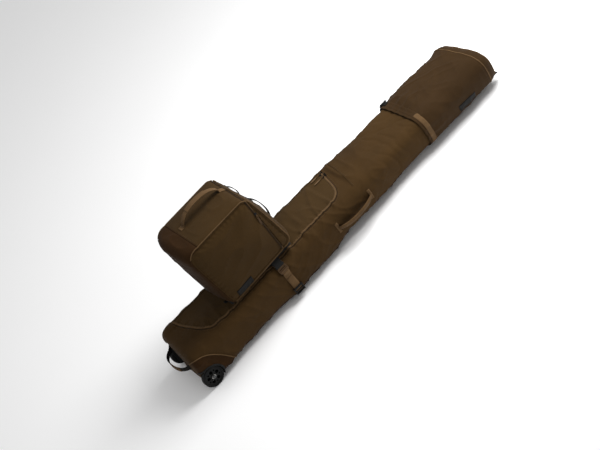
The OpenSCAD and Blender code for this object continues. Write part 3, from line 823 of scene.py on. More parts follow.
def sleeve_relief(x, around):
    a = np.abs(around)
    y, z, _, _ = section(around)
    spots = stacked(x, y, z)
    fill = ramp(HEM, HEM + 90, x)
    crown = 9 * np.clip(np.cos(math.pi * around / 290), 0, 1) * (a < 145)
    sides = 5 * np.clip(np.cos(math.pi * (a - SIDE_MIDDLE) / 190), 0, 1)
    soft = 5.0 * noise_at(spots, (170, 110, 90), 11.3)
    pleats = bell(x, SLEEVE_STRAP + 34, 60) * 2.6 * np.sin(around / 9 + 1.4 * np.sin(around / 40))
    under = bell(x, SLEEVE_STRAP - 30, 22) * 1.2 * np.sin(around / 7.5)
    folds = 4.2 * ridges(slid(spots, y * 0.7), (85, 120, 160), 4.9, 2.3, 3)
    drag = 3.2 * ridges(slid(spots, -y * 0.8), (60, 150, 120), 29.0, 2.3, 3)
    folds = folds + drag + 1.4 * noise_at(spots, (36, 50, 44), 6.3)
    front_only = 1 - ramp(BACK_EDGE - 60, BACK_EDGE - 10, a)
    strap = -2.4 * bell(x, SLEEVE_STRAP, 15) * front_only
    mouth = bell(x, HEM + 6, 7) * 1.2
    bulge = (crown + sides + soft + folds) * fill
    relief = 6.4 + mouth + (bulge + np.clip(pleats, -1.0, 3) + under + strap) * front_only
    left = (around < 0) * bell(a, 165, 75)
    relief = relief - left * (8 * ramp(1640, 1850, x) * (1 - ramp(1852, 1925, x)) + 5 * bell(x, 1846, 34))
    low = 5.0 - 12 * left * ramp(1700, 1780, x)
    return np.maximum(relief, low) * front_only + 5.0 * (1 - front_only) + slack(x, around)


def sleeve_surface(x, around, lift=0.0):
    """Points on the upper section's cloth; its end's edges are rounded and it leans a little to the right."""
    x, around = np.broadcast_arrays(np.asarray(x, float), np.asarray(around, float))
    end = TOP_END - CAP_ROUND
    out = sleeve_relief(np.minimum(x, end), around)
    turn = np.clip((x - TOP_END + CAP_ROUND) / CAP_ROUND, 0, 1)
    points = over_section(x, around, out, turn, CAP_ROUND, 1, lift)
    y = section(around)[0]
    far = ramp(1540, 1940, x)
    return slid(points, far * (3 - 27 * y / HALF_W) + (1 - far) * (-3 - 8 * y / HALF_W))


def sleeve_shell():
    columns = 168
    around = np.linspace(-HALF_ROUND, HALF_ROUND, columns, endpoint=False)
    rings = [sleeve_surface(np.full(columns, x), around) for x in np.arange(HEM, TOP_END - CAP_ROUND - 1, 5)]
    edge = [TOP_END - CAP_ROUND * (1 - math.sin(math.pi / 2 * k / 10)) for k in range(11)]
    rings += [sleeve_surface(np.full(columns, x), around) for x in edge]
    rings += face_rings(rings[-1], CAP_DOME, 1, 8.5)
    points = np.array(rings)
    faces = grid_faces(len(rings), columns, closed=True)
    shell = piece("upper_section_shell", points.reshape(-1, 3), faces, SLEEVE_CLOTH, "upper_section",
                  ["upper_right_panel", "upper_left_panel", "upper_front_panel", "upper_back_panel", "upper_cap"])
    thicken(shell, 3)


def ring_round(x, lift, surface, start=-HALF_ROUND, end=HALF_ROUND, count=220):
    around = np.linspace(start, end, count)
    return surface(np.full(count, float(x)), around, lift), normals_of(around)


def sleeve_trim():
    path, up = ring_round(HEM + 1, -0.6, sleeve_surface)
    sweep("upper_hem", path[:-1], up[:-1], flat_section(9, 3.6), SLEEVE_CLOTH, "upper_section", closed=True)
    path, up = ring_round(HEM + 13, 0.2, sleeve_surface)
    stitches("hem_stitches", path, up, THREAD, "upper_section")
    for name, x, radius in (("cap_inner_piping", TOP_END - 50, 2.6), ("cap_outer_piping", TOP_END - 14, 2.9)):
        path, up = ring_round(x, 0.8, sleeve_surface)
        path[:, 2] = np.maximum(path[:, 2], radius - 5)
        sweep(name, path[:-1], up[:-1], round_section(radius), PIPING, "upper_section", closed=True)


def sleeve_fittings():
    channel = np.linspace(-SIDE_START + 26, 122, 90)
    overlay("upper_strap_channel", lambda a: HEM + 6.0, lambda a: HEM + 42.0, channel, SLEEVE_CLOTH, "upper_section",
            lift=2.6, surface=sleeve_surface, columns=20)
    path, up = ring_round(SLEEVE_STRAP, 1.8, sleeve_surface, 112, SIDE_END + 40, 90)
    webbing("upper_strap_webbing", path, up, 25, 2.2, LIGHT_WEB, "upper_section", ["upper_strap"])
    path, up = ring_round(SLEEVE_STRAP, 1.8, sleeve_surface, -SIDE_START - 40, -SIDE_START + 34, 50)
    webbing("upper_strap_left", path, up, 25, 2.2, BLACK_WEB, "upper_section")
    around = np.linspace(-FRONT_EDGE - 74, -FRONT_EDGE + 4, 20)
    tail = sleeve_surface(np.full(20, SLEEVE_STRAP + 1.0), around, 4.6)
    webbing("upper_strap_tail", tail, normals_of(around), 25, 2.0, BLACK_WEB, "upper_section")
    lock_a = -FRONT_EDGE - 42
    ladder("upper_ladder_lock", sleeve_surface(SLEEVE_STRAP, lock_a, 4.5), normals_of(np.array(lock_a)), 38, 36,
           BLACK_PLASTIC, "upper_section", ["upper_buckle"])
    x = np.linspace(1705, 1800, 24)
    patch("upper_blank_label", x, np.linspace(SIDE_MIDDLE + 7, SIDE_MIDDLE + 47, 14), sleeve_surface, LABEL,
          "upper_section", ["upper_label"])
    tab = spline([(TOP_END + x, -HALF_W + 40, z) for x, z in ((12, 42), (24, 43), (33, 40))], 12)
    webbing("end_tab", tab, (0, 0, 1), 24, 3.0, BLACK_WEB, "upper_section", ["upper_tab"])


def grid_of(first, second):
    """A grid of two rows of numbers, and how far each of its points is from its border."""
    one, two = np.meshgrid(first, second, indexing="ij")
    edge = np.minimum(np.minimum(one - first[0], first[-1] - one), np.minimum(two - second[0], second[-1] - two))
    return one, two, edge


def label_height(edge, thick):
    """Height of a label with a raised border, from the distance to its edge."""
    return LABEL_RIM * bell(edge, 3.2, 1.6) + ramp(0, 2.0, edge) * thick


def patch(name, x, around, surface, material, body, nodes=(), thick=2.0, lift=1.2):
    """A label or reinforcement on the surface, with a raised border."""
    grid_x, grid_a, edge = grid_of(x, around)
    points = surface(grid_x, grid_a, lift + label_height(edge, thick) - thick * 0.5)
    made = piece(name, points.reshape(-1, 3), grid_faces(len(x), len(around)), material, body, nodes)
    return thicken(made, 1.5)


def ladder(name, centre, normal, width, length, material, body, nodes=(), thick=7.0):
    """A ladder lock: two side rails and three bars, lying on the surface with its length round the section."""
    centre, normal = np.asarray(centre, float).reshape(3), np.asarray(normal, float).reshape(3)
    along_bag = np.array([1.0, 0, 0])
    run = np.cross(normal, along_bag)
    run /= np.linalg.norm(run)
    shape = bmesh.new()
    w, l = width / 2, length / 2
    boxes = [((-w, -l, 0), (-w + 5, l, thick)), ((w - 5, -l, 0), (w, l, thick)),
             ((-w, -l, 0), (w, -l + 5, thick)), ((-w, l - 6, 0), (w, l, thick + 1.5)),
             ((-w, -2.5, 1), (w, 2.5, thick + 1))]
    for low, high in boxes:
        made = bmesh.ops.create_cube(shape, size=1)["verts"]
        for v in made:
            k = [(low[i] + high[i]) / 2 + (high[i] - low[i]) * v.co[i] for i in range(3)]
            v.co = Vector(centre + along_bag * k[0] + run * k[1] + normal * k[2])
    return from_shape(name, shape, material, body, nodes, bevel=1.2)


def from_shape(name, shape, material, body, nodes=(), bevel=1.0):
    """A piece from a bmesh in the bag's frame, with its edges rounded."""
    points = np.array([v.co[:] for v in shape.verts])
    shape.verts.index_update()
    faces = [[v.index for v in f.verts] for f in shape.faces]
    shape.free()
    made = piece(name, points, faces, material, body, nodes)
    rounding = made.modifiers.new("rounding", "BEVEL")
    rounding.width = bevel / 1000
    rounding.segments = 3
    rounding.limit_method = "ANGLE"
    shading = made.modifiers.new("shading", "WEIGHTED_NORMAL")
    shading.keep_sharp = False
    return made


# ---- the lower strap and its buckle ------------------------------------------------------------------

BUCKLE_ARC = FRONT_EDGE + CORNER * math.pi / 4
BUCKLE_LIFT = 3


def buckle_point(x, y, z):
    """A point in the buckle's frame (x along the strap to the back, y along the bag, z out) in the bag's frame."""
    turn = math.pi / 4
    out = np.array([0, -math.sin(turn), math.cos(turn)])
    down = np.array([0, -math.cos(turn), -math.sin(turn)])
    base = np.array([STRAP_X, -FRONT_EDGE, DEPTH - CORNER]) + (CORNER + BUCKLE_LIFT) * out
    x, y, z = np.broadcast_arrays(*[np.asarray(v, float) for v in (x, y, z)])
    return base + x[..., None] * down + y[..., None] * np.array([1.0, 0, 0]) + z[..., None] * out


def plate(name, outline, low, high, material, body, nodes=(), bevel=1.0, holes=()):
    """A plate in the buckle's frame from an (x, y) outline between two heights, with slots cut through it."""
    shape = bmesh.new()
    under, over = [[buckle_point(x, y, height) for x, y in outline] for height in (low, high)]
    extrude(shape, under, over)
    made = from_shape(name, shape, material, body, nodes, bevel)
    for number, (low_x, low_y, high_x, high_y) in enumerate(holes):
        cutter = bmesh.new()
        bmesh.ops.create_cube(cutter, size=1)
        for v in cutter.verts:
            x = (low_x + high_x) / 2 + (high_x - low_x) * v.co.x
            y = (low_y + high_y) / 2 + (high_y - low_y) * v.co.y
            v.co = Vector(to_row(buckle_point(x, y, (low + high) / 2 + 40 * v.co.z)))
        bmesh.ops.recalc_face_normals(cutter, faces=cutter.faces)
        mesh = bpy.data.meshes.new(f"{name}_cutter_{number}")
        cutter.to_mesh(mesh)
        cutter.free()
        tool = placed(mesh.name, mesh)
        cut = made.modifiers.new("slot", "BOOLEAN")
        cut.object = tool
        cut.solver = "EXACT"
        made.modifiers.move(len(made.modifiers) - 1, 0)
        apply_first(made)
        bpy.data.objects.remove(tool)
        bpy.data.meshes.remove(mesh)
    return made


def apply_first(thing):
    """Applies the first modifier, leaving the others."""
    later = [m for m in thing.modifiers][1:]
    shown = {m.name: m.show_viewport for m in later}
    for m in later:
        m.show_viewport = False
    depsgraph = bpy.context.evaluated_depsgraph_get()
    made = bpy.data.meshes.new_from_object(thing.evaluated_get(depsgraph))
    old = thing.data
    thing.modifiers.remove(thing.modifiers[0])
    thing.data = made
    bpy.data.meshes.remove(old)
    for m in later:
        m.show_viewport = shown[m.name]


def soft_rectangle(x0, x1, half, corner, waist=0.0, count=8):
    """An outline with round corners whose long sides draw in by waist in the middle."""
    points = []
    for cx, cy, start in ((x1 - corner, half - corner, 0), (x0 + corner, half - corner, 90),
                          (x0 + corner, -half + corner, 180), (x1 - corner, -half + corner, 270)):
        for k in range(5):
            turn = math.radians(start + 90 * k / 4)
            points.append((cx + corner * math.cos(turn), cy + corner * math.sin(turn)))
        if start in (0, 180):
            side = 1 if start == 0 else -1
            begin, end = (x1 - corner, x0 + corner)[::side]
            for t in np.linspace(0, 1, count + 2)[1:-1]:
                points.append((begin * (1 - t) + end * t, side * (half - waist * math.sin(math.pi * t))))
    return points


def buckle():
    """A side-release buckle: the socket's two faces, the plug's frame and its two arms."""
    plate("buckle_socket_face", soft_rectangle(-38, 0, 24, 7, waist=3.5), 9.3, 12.4, BLACK_PLASTIC, "ski_bag",
          ["buckle_socket"], bevel=1.2, holes=[(-36, -15, -30.5, 15)])
    plate("buckle_socket_under", soft_rectangle(-38, 0, 24, 7, waist=3.5), 0, 2.6, BLACK_PLASTIC, "ski_bag")
    plate("buckle_socket_end", soft_rectangle(-38, -29.5, 21, 3), 2.5, 9.5, BLACK_PLASTIC, "ski_bag")
    plate("buckle_plug_frame", soft_rectangle(0.8, 30, 24, 6), 0.4, 11.6, BROWN_PLASTIC, "buckle_plug",
          ["buckle_plug"], bevel=1.6, holes=[(8, -19.5, 12.5, 19.5), (17.5, -19.5, 22.5, 19.5)])
    plate("buckle_plug_guide", soft_rectangle(-25, 1.5, 5, 2.5), 3.6, 8.4, BROWN_PLASTIC, "buckle_plug")
    for name, side in (("a", 1), ("b", -1)):
        arm = [(-1, 14.6), (-1, 18.8), (-12, 19.6), (-17, 23.2), (-26, 22.4), (-28.5, 18.0), (-24, 15.4), (-12, 15.2)]
        outline = [(x, side * y) for x, y in arm][::side]
        plate(f"buckle_arm_{name}_finger", outline, 3.2, 8.8, BROWN_PLASTIC, f"buckle_arm_{name}",
              [f"buckle_arm_{name}"], bevel=1.2)


def lower_strap():
    start = -(SIDE_END + ARC * 0.8)
    around = np.linspace(start, BUCKLE_ARC - 42, 200)
    path = lower_surface(np.full(200, float(STRAP_X)), around, 1.6)
    tip = buckle_point(-34, 0, 6)
    blend_in = ramp(BUCKLE_ARC - 75, BUCKLE_ARC - 42, around)[:, None]
    path = np.vstack([path * (1 - 0.55 * blend_in) + 0.55 * blend_in * (tip + [0, 8, 0]), tip[None]])
    up = np.vstack([normals_of(around), normals_of(np.array([BUCKLE_ARC]))])
    webbing("lower_strap_front", evenly(path, 190), evenly_like(up, path, 190), STRAP_W, 2.4, BLACK_WEB, "ski_bag",
            ["front_strap"])
    lock_a = SIDE_END + 6
    around = np.linspace(BUCKLE_ARC + 46, lock_a, 60)
    path = lower_surface(np.full(60, float(STRAP_X)), around, 3.0)
    tip = buckle_point(20, 0, 7)
    second = buckle_point(34, 0, 5.5)
    path = np.vstack([tip[None], second[None], path])
    normals = np.vstack([normals_of(np.full(2, BUCKLE_ARC)), normals_of(around)])
    strap = webbing("lower_strap_side", evenly(path, 90), evenly_like(normals, path, 90), STRAP_W - 1, 2.4, LIGHT_WEB,
                    None, ["side_strap"])
    to_row(buckle_point(32, 0, 6))
    to_row(path[30])
    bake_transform(strap)
    tail_around = np.linspace(SIDE_START + 26, lock_a + 14, 40)
    tail = lower_surface(np.full(40, float(STRAP_X)), tail_around, 6.0)
    tail[:, 1] -= 3 * np.sin(np.linspace(0, math.pi, 40))
    webbing("lower_strap_tail", tail, normals_of(tail_around), STRAP_W - 2, 2.2, LIGHT_WEB, "ski_bag")
    place = lower_surface(STRAP_X, lock_a, 4.5)
    ladder("lower_ladder_lock", place, normals_of(np.array(lock_a)), 50, 40, BLACK_PLASTIC, "ski_bag",
           ["ladder_lock"], thick=8.5)


# ---- handles --------------------------------------------------------------------------------------

def arch(half, rise, count, flatness=2.0):
    """How far along and out the points of a handle's bow are; it is upright where it starts."""
    t = np.linspace(-1, 1, count)
    return half * np.sign(t) * np.abs(t) ** 0.92, rise * (1 - np.abs(t) ** (2 * flatness)) ** (1 / flatness * 0.9)


def carry_handle():
    """The padded handle on the right side, wide where it is sewn on, drooping a little towards the back."""
    droop = math.radians(30)
    out = np.array([0, -math.cos(droop), -math.sin(droop)])
    level = np.cross(out, [1.0, 0, 0])
    base = np.array([HANDLE_X, -HALF_W - 8.0, HANDLE_Z])
    along, rise = arch(104, 22, 90, 1.1)
    path = base + along[:, None] * np.array([1.0, 0, 0]) + rise[:, None] * out
    count, sides = 110, 22
    path = evenly(path, count)
    _, side, normal = frames_along(path, across_plane(path, level))
    t = np.linspace(-1, 1, count)
    wide = 17.0 - 5.0 * ramp(0.82, 1.0, np.abs(t))
    high = 6.5 - 4.0 * np.abs(t) ** 5
    angles = np.linspace(0, 2 * math.pi, sides, endpoint=False) + 0.001
    crease = 0.4 * np.sin(np.arange(count) * 0.9) + 0.3 * np.sin(np.arange(count) * 2.1)
    rings = []
    for k in range(count):
        ring = [path[k] + side[k] * (wide[k] + crease[k]) * math.copysign(abs(math.cos(w)) ** 0.75, math.cos(w))
                + normal[k] * (high[k] + 0.5 * crease[k]) * math.sin(w) for w in angles]
        rings.append(ring)
    points = np.array(rings).reshape(-1, 3)
    faces = grid_faces(count, sides, closed=True)
    faces += [tuple(range(sides)), tuple(range(len(points) - sides, len(points)))]
    grip = piece("carry_grip_pad", points, faces, HANDLE_CLOTH, "carry_handle", ["carry_grip"])
    core, normal, side, high = (rows[6:-6] for rows in (path, normal, side, high[:, None]))
    webbing("carry_handle_webbing", core + normal * (high - 0.2), normal, 15, 2.0, LIGHT_WEB, "carry_handle",
            ["carry_handle"])
    for letter, sign in (("a", -1), ("b", 1)):
        row = core + normal * (high + 0.8) + side * sign * 6
        stitches(f"carry_stitches_{letter}", row, normal, DARK_THREAD, "carry_handle")
    for name, x, nodes in (("base", HANDLE_X - 108, ["handle_anchors"]), ("top", HANDLE_X + 108, [])):
        rows = np.linspace(x - 8, x + 8, 10)
        middle = side_at(HANDLE_Z)
        around = np.linspace(middle - 33, middle + 33, 34)
        patch(f"carry_anchor_{name}", rows, around, lower_surface, LIGHT_WEB, "ski_bag", nodes, thick=3.0)
        run = lower_surface(np.full(34, float(x)), around, 3.6)
        stitches(f"carry_anchor_{name}_stitches", run, normals_of(around), DARK_THREAD, "ski_bag", pitch=4.0, long=2.8)


def base_handle():
    """The webbing loop that pulls the bag along, on the base end."""
    half, height = 88, 125
    y, rise = arch(half, 40, 90, 1.2)
    path = evenly(stacked(-12 - 0.9 * rise, y, height + 3 * np.cos(y / 58)), 110)
    up = across_plane(path, (0, 0, 1.0))
    webbing("base_handle_webbing", path, up, 24, 3.2, BLACK_WEB, "base_handle", ["base_handle"])
    sweep("base_handle_cover", path[22:62], up[22:62], flat_section(27, 5.5), HANDLE_CLOTH, "base_handle")
    for name, side in (("right", -1), ("left", 1)):
        path = spline([(x, side * (half + y), height) for x, y in ((-13, 0), (-4, 3), (5, 13), (18, 31))], 24)
        webbing(f"base_anchor_{name}", path, across_plane(path, (0, 0, 1.0)), 28, 3.0, BLACK_WEB, "ski_bag")


# ---- the boot pack ----------------------------------------------------------------------------------

PACK_EDGE = [(328, 229, 30), (288, 600, 58), (672, 603, 44), (700, 420, 160), (721, 250, 38)]
PACK_CROWN = [(312, 225, 30), (279, 612, 40), (660, 613, 70), (716, 455, 160), (748, 232, 34)]


def rounded_loop(corners, count):
    """Evenly spaced points round a polygon whose corners are (x, z, radius)."""
    dense = []
    total = len(corners)
    for k in range(total):
        before, here, after = (np.array(corners[(k + d) % total][:2], float) for d in (-1, 0, 1))
        radius = corners[k][2]
        one, two = before - here, after - here
        one, two = one / np.linalg.norm(one), two / np.linalg.norm(two)
        half = math.acos(float(np.clip(one @ two, -1, 1))) / 2
        reach = radius / math.tan(half)
        middle = here + (one + two) / np.linalg.norm(one + two) * radius / math.sin(half)
        start, end = here + one * reach - middle, here + two * reach - middle
        turn = math.atan2(start[0] * end[1] - start[1] * end[0], start @ end)
        for t in np.linspace(0, 1, 20):
            c, s = math.cos(turn * t), math.sin(turn * t)
            dense.append(middle + [start[0] * c - start[1] * s, start[0] * s + start[1] * c])
    dense.append(dense[0])
    return evenly(np.array(dense), count + 1)[:-1]


PACK_LOOP = rounded_loop(PACK_EDGE, 300)
CROWN_LOOP = rounded_loop(PACK_CROWN, 300)
PACK_MIDDLE = np.array([512.0, 418.0])


def loop_normals(loop):
    tangent = np.roll(loop, -1, axis=0) - np.roll(loop, 1, axis=0)
    tangent /= np.linalg.norm(tangent, axis=1)[:, None]
    normal = np.stack([-tangent[:, 1], tangent[:, 0]], axis=1)
    outward = np.sum(normal * (loop - PACK_MIDDLE), axis=1)
    return normal * np.sign(outward)[:, None]


PACK_NORMALS = loop_normals(CROWN_LOOP)


def seam_dent(x, z):
    """A groove along the lid's zip."""
    return -2.4 * bell(x, PACK_ZIP, 9) * ramp(232, 250, z)


def pack_band(y, lift=0.0):
    """Points of the pack's band at distances y across it, one row for each, along its loop."""
    y = np.asarray(y, float)[:, None]
    across = 1 - np.abs(y / PACK_HALF) ** 2.6
    x = PACK_LOOP[None, :, 0] * (1 - across) + CROWN_LOOP[None, :, 0] * across
    z = PACK_LOOP[None, :, 1] * (1 - across) + CROWN_LOOP[None, :, 1] * across
    nx, nz = PACK_NORMALS[None, :, 0], PACK_NORMALS[None, :, 1]
    crown = (3 + 5 * np.clip(-nx, 0, 1) - 7 * np.clip(nz, 0, 1)) * ramp(230, 300, z) * across
    spots = stacked(x, y, z)
    soft = 3.0 * noise_at(spots, (120, 90, 110), 21.0) + 1.1 * noise_at(spots, (34, 40, 34), 9.0)
    soft = soft * (0.25 + 0.75 * across)
    folds = 2.4 * ridges(spots, (60, 150, 70), 14.0, 2.4, 3) * across
    seam = -1.6 * bell(x, PACK_BASE_END, 6) * (nz > 0.7)
    out = (crown + soft + folds) * ramp(226, 262, z) + seam + seam_dent(x, z) + lift
    edge = 9 * (np.abs(y) / PACK_HALF) ** 18
    return stacked(x + nx * (out - edge), y, z + nz * (out - edge))


def pack_front_point(x, y, lift=0.0):
    """The point of the pack's front or end at x and y."""
    row = pack_band([y], lift)[0]
    row = row[row[:, 2] > 430]
    return row[np.argmin(np.abs(row[:, 0] - x))]


def pillow_relief(x, z, ring):
    """How far a side of the pack stands out, where ring runs from 0 in the middle to 1 at its edge."""
    spots = stacked(x, 0 * x, z)
    crown = 19 * (1 - ring ** 2.0)
    soft = 5.5 * noise_at(spots, (130, 100, 120), 31.0)
    pulled = stacked(x + 0.9 * z, 0 * x, z - 0.4 * x)
    folds = 7.0 * ridges(pulled, (300, 90, 130), 17.0, 2.0, 2)
    creases = 3.0 * ridges(pulled, (230, 90, 74), 23.0, 2.0, 2) * ramp(380, 560, z)
    gathers = 1.4 * np.sin(np.arctan2(z - PACK_MIDDLE[1], x - PACK_MIDDLE[0]) * 46) * bell(ring, 0.93, 0.05)
    return (crown + (soft + folds + creases) * (1 - ring ** 6) + gathers + seam_dent(x, z)) - 7 * ring ** 14


def pack_side_surface(x, z, side, lift=0.0):
    """Points on a side of the pack above (x, z) points."""
    x, z = np.broadcast_arrays(np.asarray(x, float), np.asarray(z, float))
    ring = ring_of(x, z)
    out = PACK_HALF + pillow_relief(x, z, ring) + lift
    return stacked(x, side * out, z)


def ring_of(x, z):
    """How near (x, z) is to the pack's edge, from 0 in its middle to 1."""
    angle = np.arctan2(z - PACK_MIDDLE[1], x - PACK_MIDDLE[0])
    edge_angle = np.arctan2(PACK_LOOP[:, 1] - PACK_MIDDLE[1], PACK_LOOP[:, 0] - PACK_MIDDLE[0])
    order = np.argsort(edge_angle)
    reach = np.linalg.norm(PACK_LOOP - PACK_MIDDLE, axis=1)
    edge = np.interp(angle, edge_angle[order], reach[order], period=2 * math.pi)
    return np.clip(np.hypot(x - PACK_MIDDLE[0], z - PACK_MIDDLE[1]) / edge, 0, 1)


def pack_shell():
    """The whole pack's cloth, cut at the lid's zip into two pieces."""
    count = len(PACK_LOOP)
    y = np.linspace(-1, 1, 56)
    y = PACK_HALF * np.sign(y) * (1 - (1 - np.abs(y)) ** 1.25)
    band = pack_band(y)
    points = [band.reshape(-1, 3)]
    faces = grid_faces(len(y), count, closed=True)
    for side, row in ((-1, 0), (1, len(y) - 1)):
        start = sum(len(p) for p in points)
        rings = 46
        grids = []
        for k in range(1, rings + 1):
            ring = 1 - k / rings
            loop = PACK_MIDDLE + (band[row][:, [0, 2]] - PACK_MIDDLE) * ring
            out = PACK_HALF + pillow_relief(loop[:, 0], loop[:, 1], np.full(count, ring))
            grids.append(stacked(loop[:, 0], side * out, loop[:, 1]))
        points.append(np.vstack(grids))
        edge = range(row * count, (row + 1) * count)
        faces += [(edge[c], edge[(c + 1) % count], start + (c + 1) % count, start + c) for c in range(count)]
        faces += counted_from(start, grid_faces(rings, count, closed=True))
    points = np.vstack(points)
    for name, body, nodes, keep_lid in (
            ("boot_pack_shell", "boot_pack", ["pack_right_panel", "pack_left_panel", "pack_front_panel",
                                              "pack_base_panel"], False),
            ("pack_lid_shell", "pack_lid", ["pack_lid"], True)):
        shell = piece(name, points, faces, PACK_CLOTH, body, nodes)
        cut_shell(shell, keep_lid)
        shell.data.materials.append(COATED)
        if not keep_lid:
            paint_base(shell)
        thicken(shell, 2.5)


def cut_shell(shell, keep_lid):
    """Keeps the lid's share of the pack's cloth, above its hinge, or the rest."""
    shape = bmesh.new()
    shape.from_mesh(shell.data)
    normal = TURN @ Vector((1, 0, 0))
    sign = 1 if keep_lid else -1
    at = Vector(to_row((PACK_SEAM + sign * 1.2, 0, 400)))

    def everything():
        return shape.verts[:] + shape.edges[:] + shape.faces[:]

    bmesh.ops.bisect_plane(shape, geom=everything(), plane_co=at, plane_no=normal, clear_inner=keep_lid,
                           clear_outer=not keep_lid)
    if keep_lid:
        up = TURN @ Vector((0, 0, 1))
        at = Vector(to_row((PACK_SEAM, 0, 235)))
        bmesh.ops.bisect_plane(shape, geom=everything(), plane_co=at, plane_no=up, clear_inner=True)
    shape.to_mesh(shell.data)
    shape.free()


def paint_base(shell):
    """Gives the faces round the pack's base the coated cloth."""
    back = np.array(TURN.inverted())
    for polygon in shell.data.polygons:
        spot = to_bag(polygon.center)
        turned = np.array(polygon.normal) @ back.T
        on_side = abs(turned[1]) > 0.75 and abs(spot[1]) > PACK_HALF - 12
        if spot[0] < PACK_BASE_END and not on_side:
            polygon.material_index = 1


def pack_floor():
    """The black padded panel that lies on the bag."""
    rows, columns = 60, 46
    x = np.linspace(322, 706, rows)
    y = np.linspace(-PACK_HALF + 14, PACK_HALF - 14, columns)
    grid_x, grid_y, edge = grid_of(x, y)
    quilt = 1.2 * np.abs(np.sin(grid_x / 17)) * ramp(4, 20, edge)
    low = stacked(grid_x, grid_y, 229 - 4.4 * ramp(0, 22, edge) - quilt)
    high = stacked(grid_x, grid_y, 231 + 2.5 * ramp(0, 14, edge))
    points, faces = slab(low, high, rows, columns)
    piece("pack_back_pad", points, faces, BLACK_MESH, "boot_pack", ["pack_back_panel"])


def pack_piping():
    """Light piping round both sides of the pack, split where the lid starts."""
    for name, side in (("right", -1), ("left", 1)):
        row = pack_band([side * (PACK_HALF - 5.0)], 0)[0]
        row = row + stacked(PACK_NORMALS[:, 0], side * 1.2, PACK_NORMALS[:, 1]) * 1.6
        up = stacked(PACK_NORMALS[:, 0], 0.0, PACK_NORMALS[:, 1])
        front = (row[:, 2] > 570) | (row[:, 0] > 340)
        runs = {"pack": (row[:, 0] < PACK_SEAM - 1.5) & front, "base": ~front,
                "lid": (row[:, 0] > PACK_SEAM + 1.5) & (row[:, 2] > 237)}
        for part, chosen in runs.items():
            line, normals = contiguous(row, chosen), contiguous(up, chosen)
            cord_line(f"{part}_{name}_piping", line, normals, 2.7, COATED if part == "base" else PIPING,
                      "pack_lid" if part == "lid" else "boot_pack")


def contiguous(rows, chosen):
    """The chosen rows of a closed loop as one run, starting after the gap."""
    count = len(rows)
    start = next(k for k in range(count) if chosen[k] and not chosen[k - 1])
    order = [(start + k) % count for k in range(count)]
    return np.array([rows[k] for k in order if chosen[k]])


def pack_zip():
    """The lid's zip: up one side, over the front and down the other, on the pack."""
    z = np.arange(246, 590, 5.0)
    x = PACK_ZIP - 1.5
    right = pack_side_surface(np.full_like(z, x), z, -1, 1.2)
    left = pack_side_surface(np.full_like(z, x), z, 1, 1.2)
    y = np.linspace(-PACK_HALF + 5, PACK_HALF - 5, 60)
    over = np.array([pack_front_point(x, side, 1.2) for side in y])
    path = np.vstack([right, over, left[::-1]])
    out = np.repeat([[0, -1.0, 0.0], [0, 0, 1.0], [0, 1.0, 0.0]], [len(z), len(y), len(z)], axis=0)
    normals = evenly_like(out, path, 260)
    path = evenly(path, 260)
    sweep("pack_zip_chain", path, normals, flat_section(5.5, 2.2), ZIP, "boot_pack", ["pack_zip"])
    stitches("pack_zip_stitches", path - np.array([9, 0, 0]) + normals * 0.4, normals, DARK_THREAD, "boot_pack")


def pack_seams():
    """The seam between the base panel and the front."""
    y = np.linspace(-PACK_HALF + 4, PACK_HALF - 4, 70)
    path = np.array([pack_front_point(PACK_BASE_END, across, 0.6) for across in y])
    cord_line("pack_base_seam", path, (0, 0, 1), 2.2, COATED, "boot_pack")
    stitches("pack_base_stitches", path + [7, 0, 0.8], (0, 0, 1), THREAD, "boot_pack")


def pack_handle():
    along, rise = arch(110, 46, 100, 1.15)
    path = evenly(stacked(520 + along, PACK_HANDLE_Y, 620 + rise), 110)
    up = across_plane(path, (0, 1.0, 0))
    webbing("pack_handle_webbing", path, up, 28, 4.0, LIGHT_WEB, "pack_handle", ["pack_handle"])
    path, up = path[28:-28], up[28:-28]
    sweep("pack_handle_cover", path, up, flat_section(33, 8.5), LIGHT_WEB, "pack_handle")
    for letter, sign in (("a", -1), ("b", 1)):
        row = path + up * 3.9 + [0, sign * 9, 0]
        stitches(f"pack_handle_stitches_{letter}", row, up, DARK_THREAD, "pack_handle")
    for name, x, way in (("base", 410, -1), ("top", 630, 1)):
        rows = [pack_front_point(x + way * shift, PACK_HANDLE_Y, 1.4) for shift in np.linspace(24, 2, 10)]
        rows = spline(rows + [np.array([x, PACK_HANDLE_Y, z]) for z in (617, 623)], 24)
        webbing(f"pack_handle_anchor_{name}", rows, across_plane(rows, (0, 1.0, 0)), 30, 2.2, LIGHT_WEB, "boot_pack",
                ["pack_handle_anchors"] if name == "base" else ())


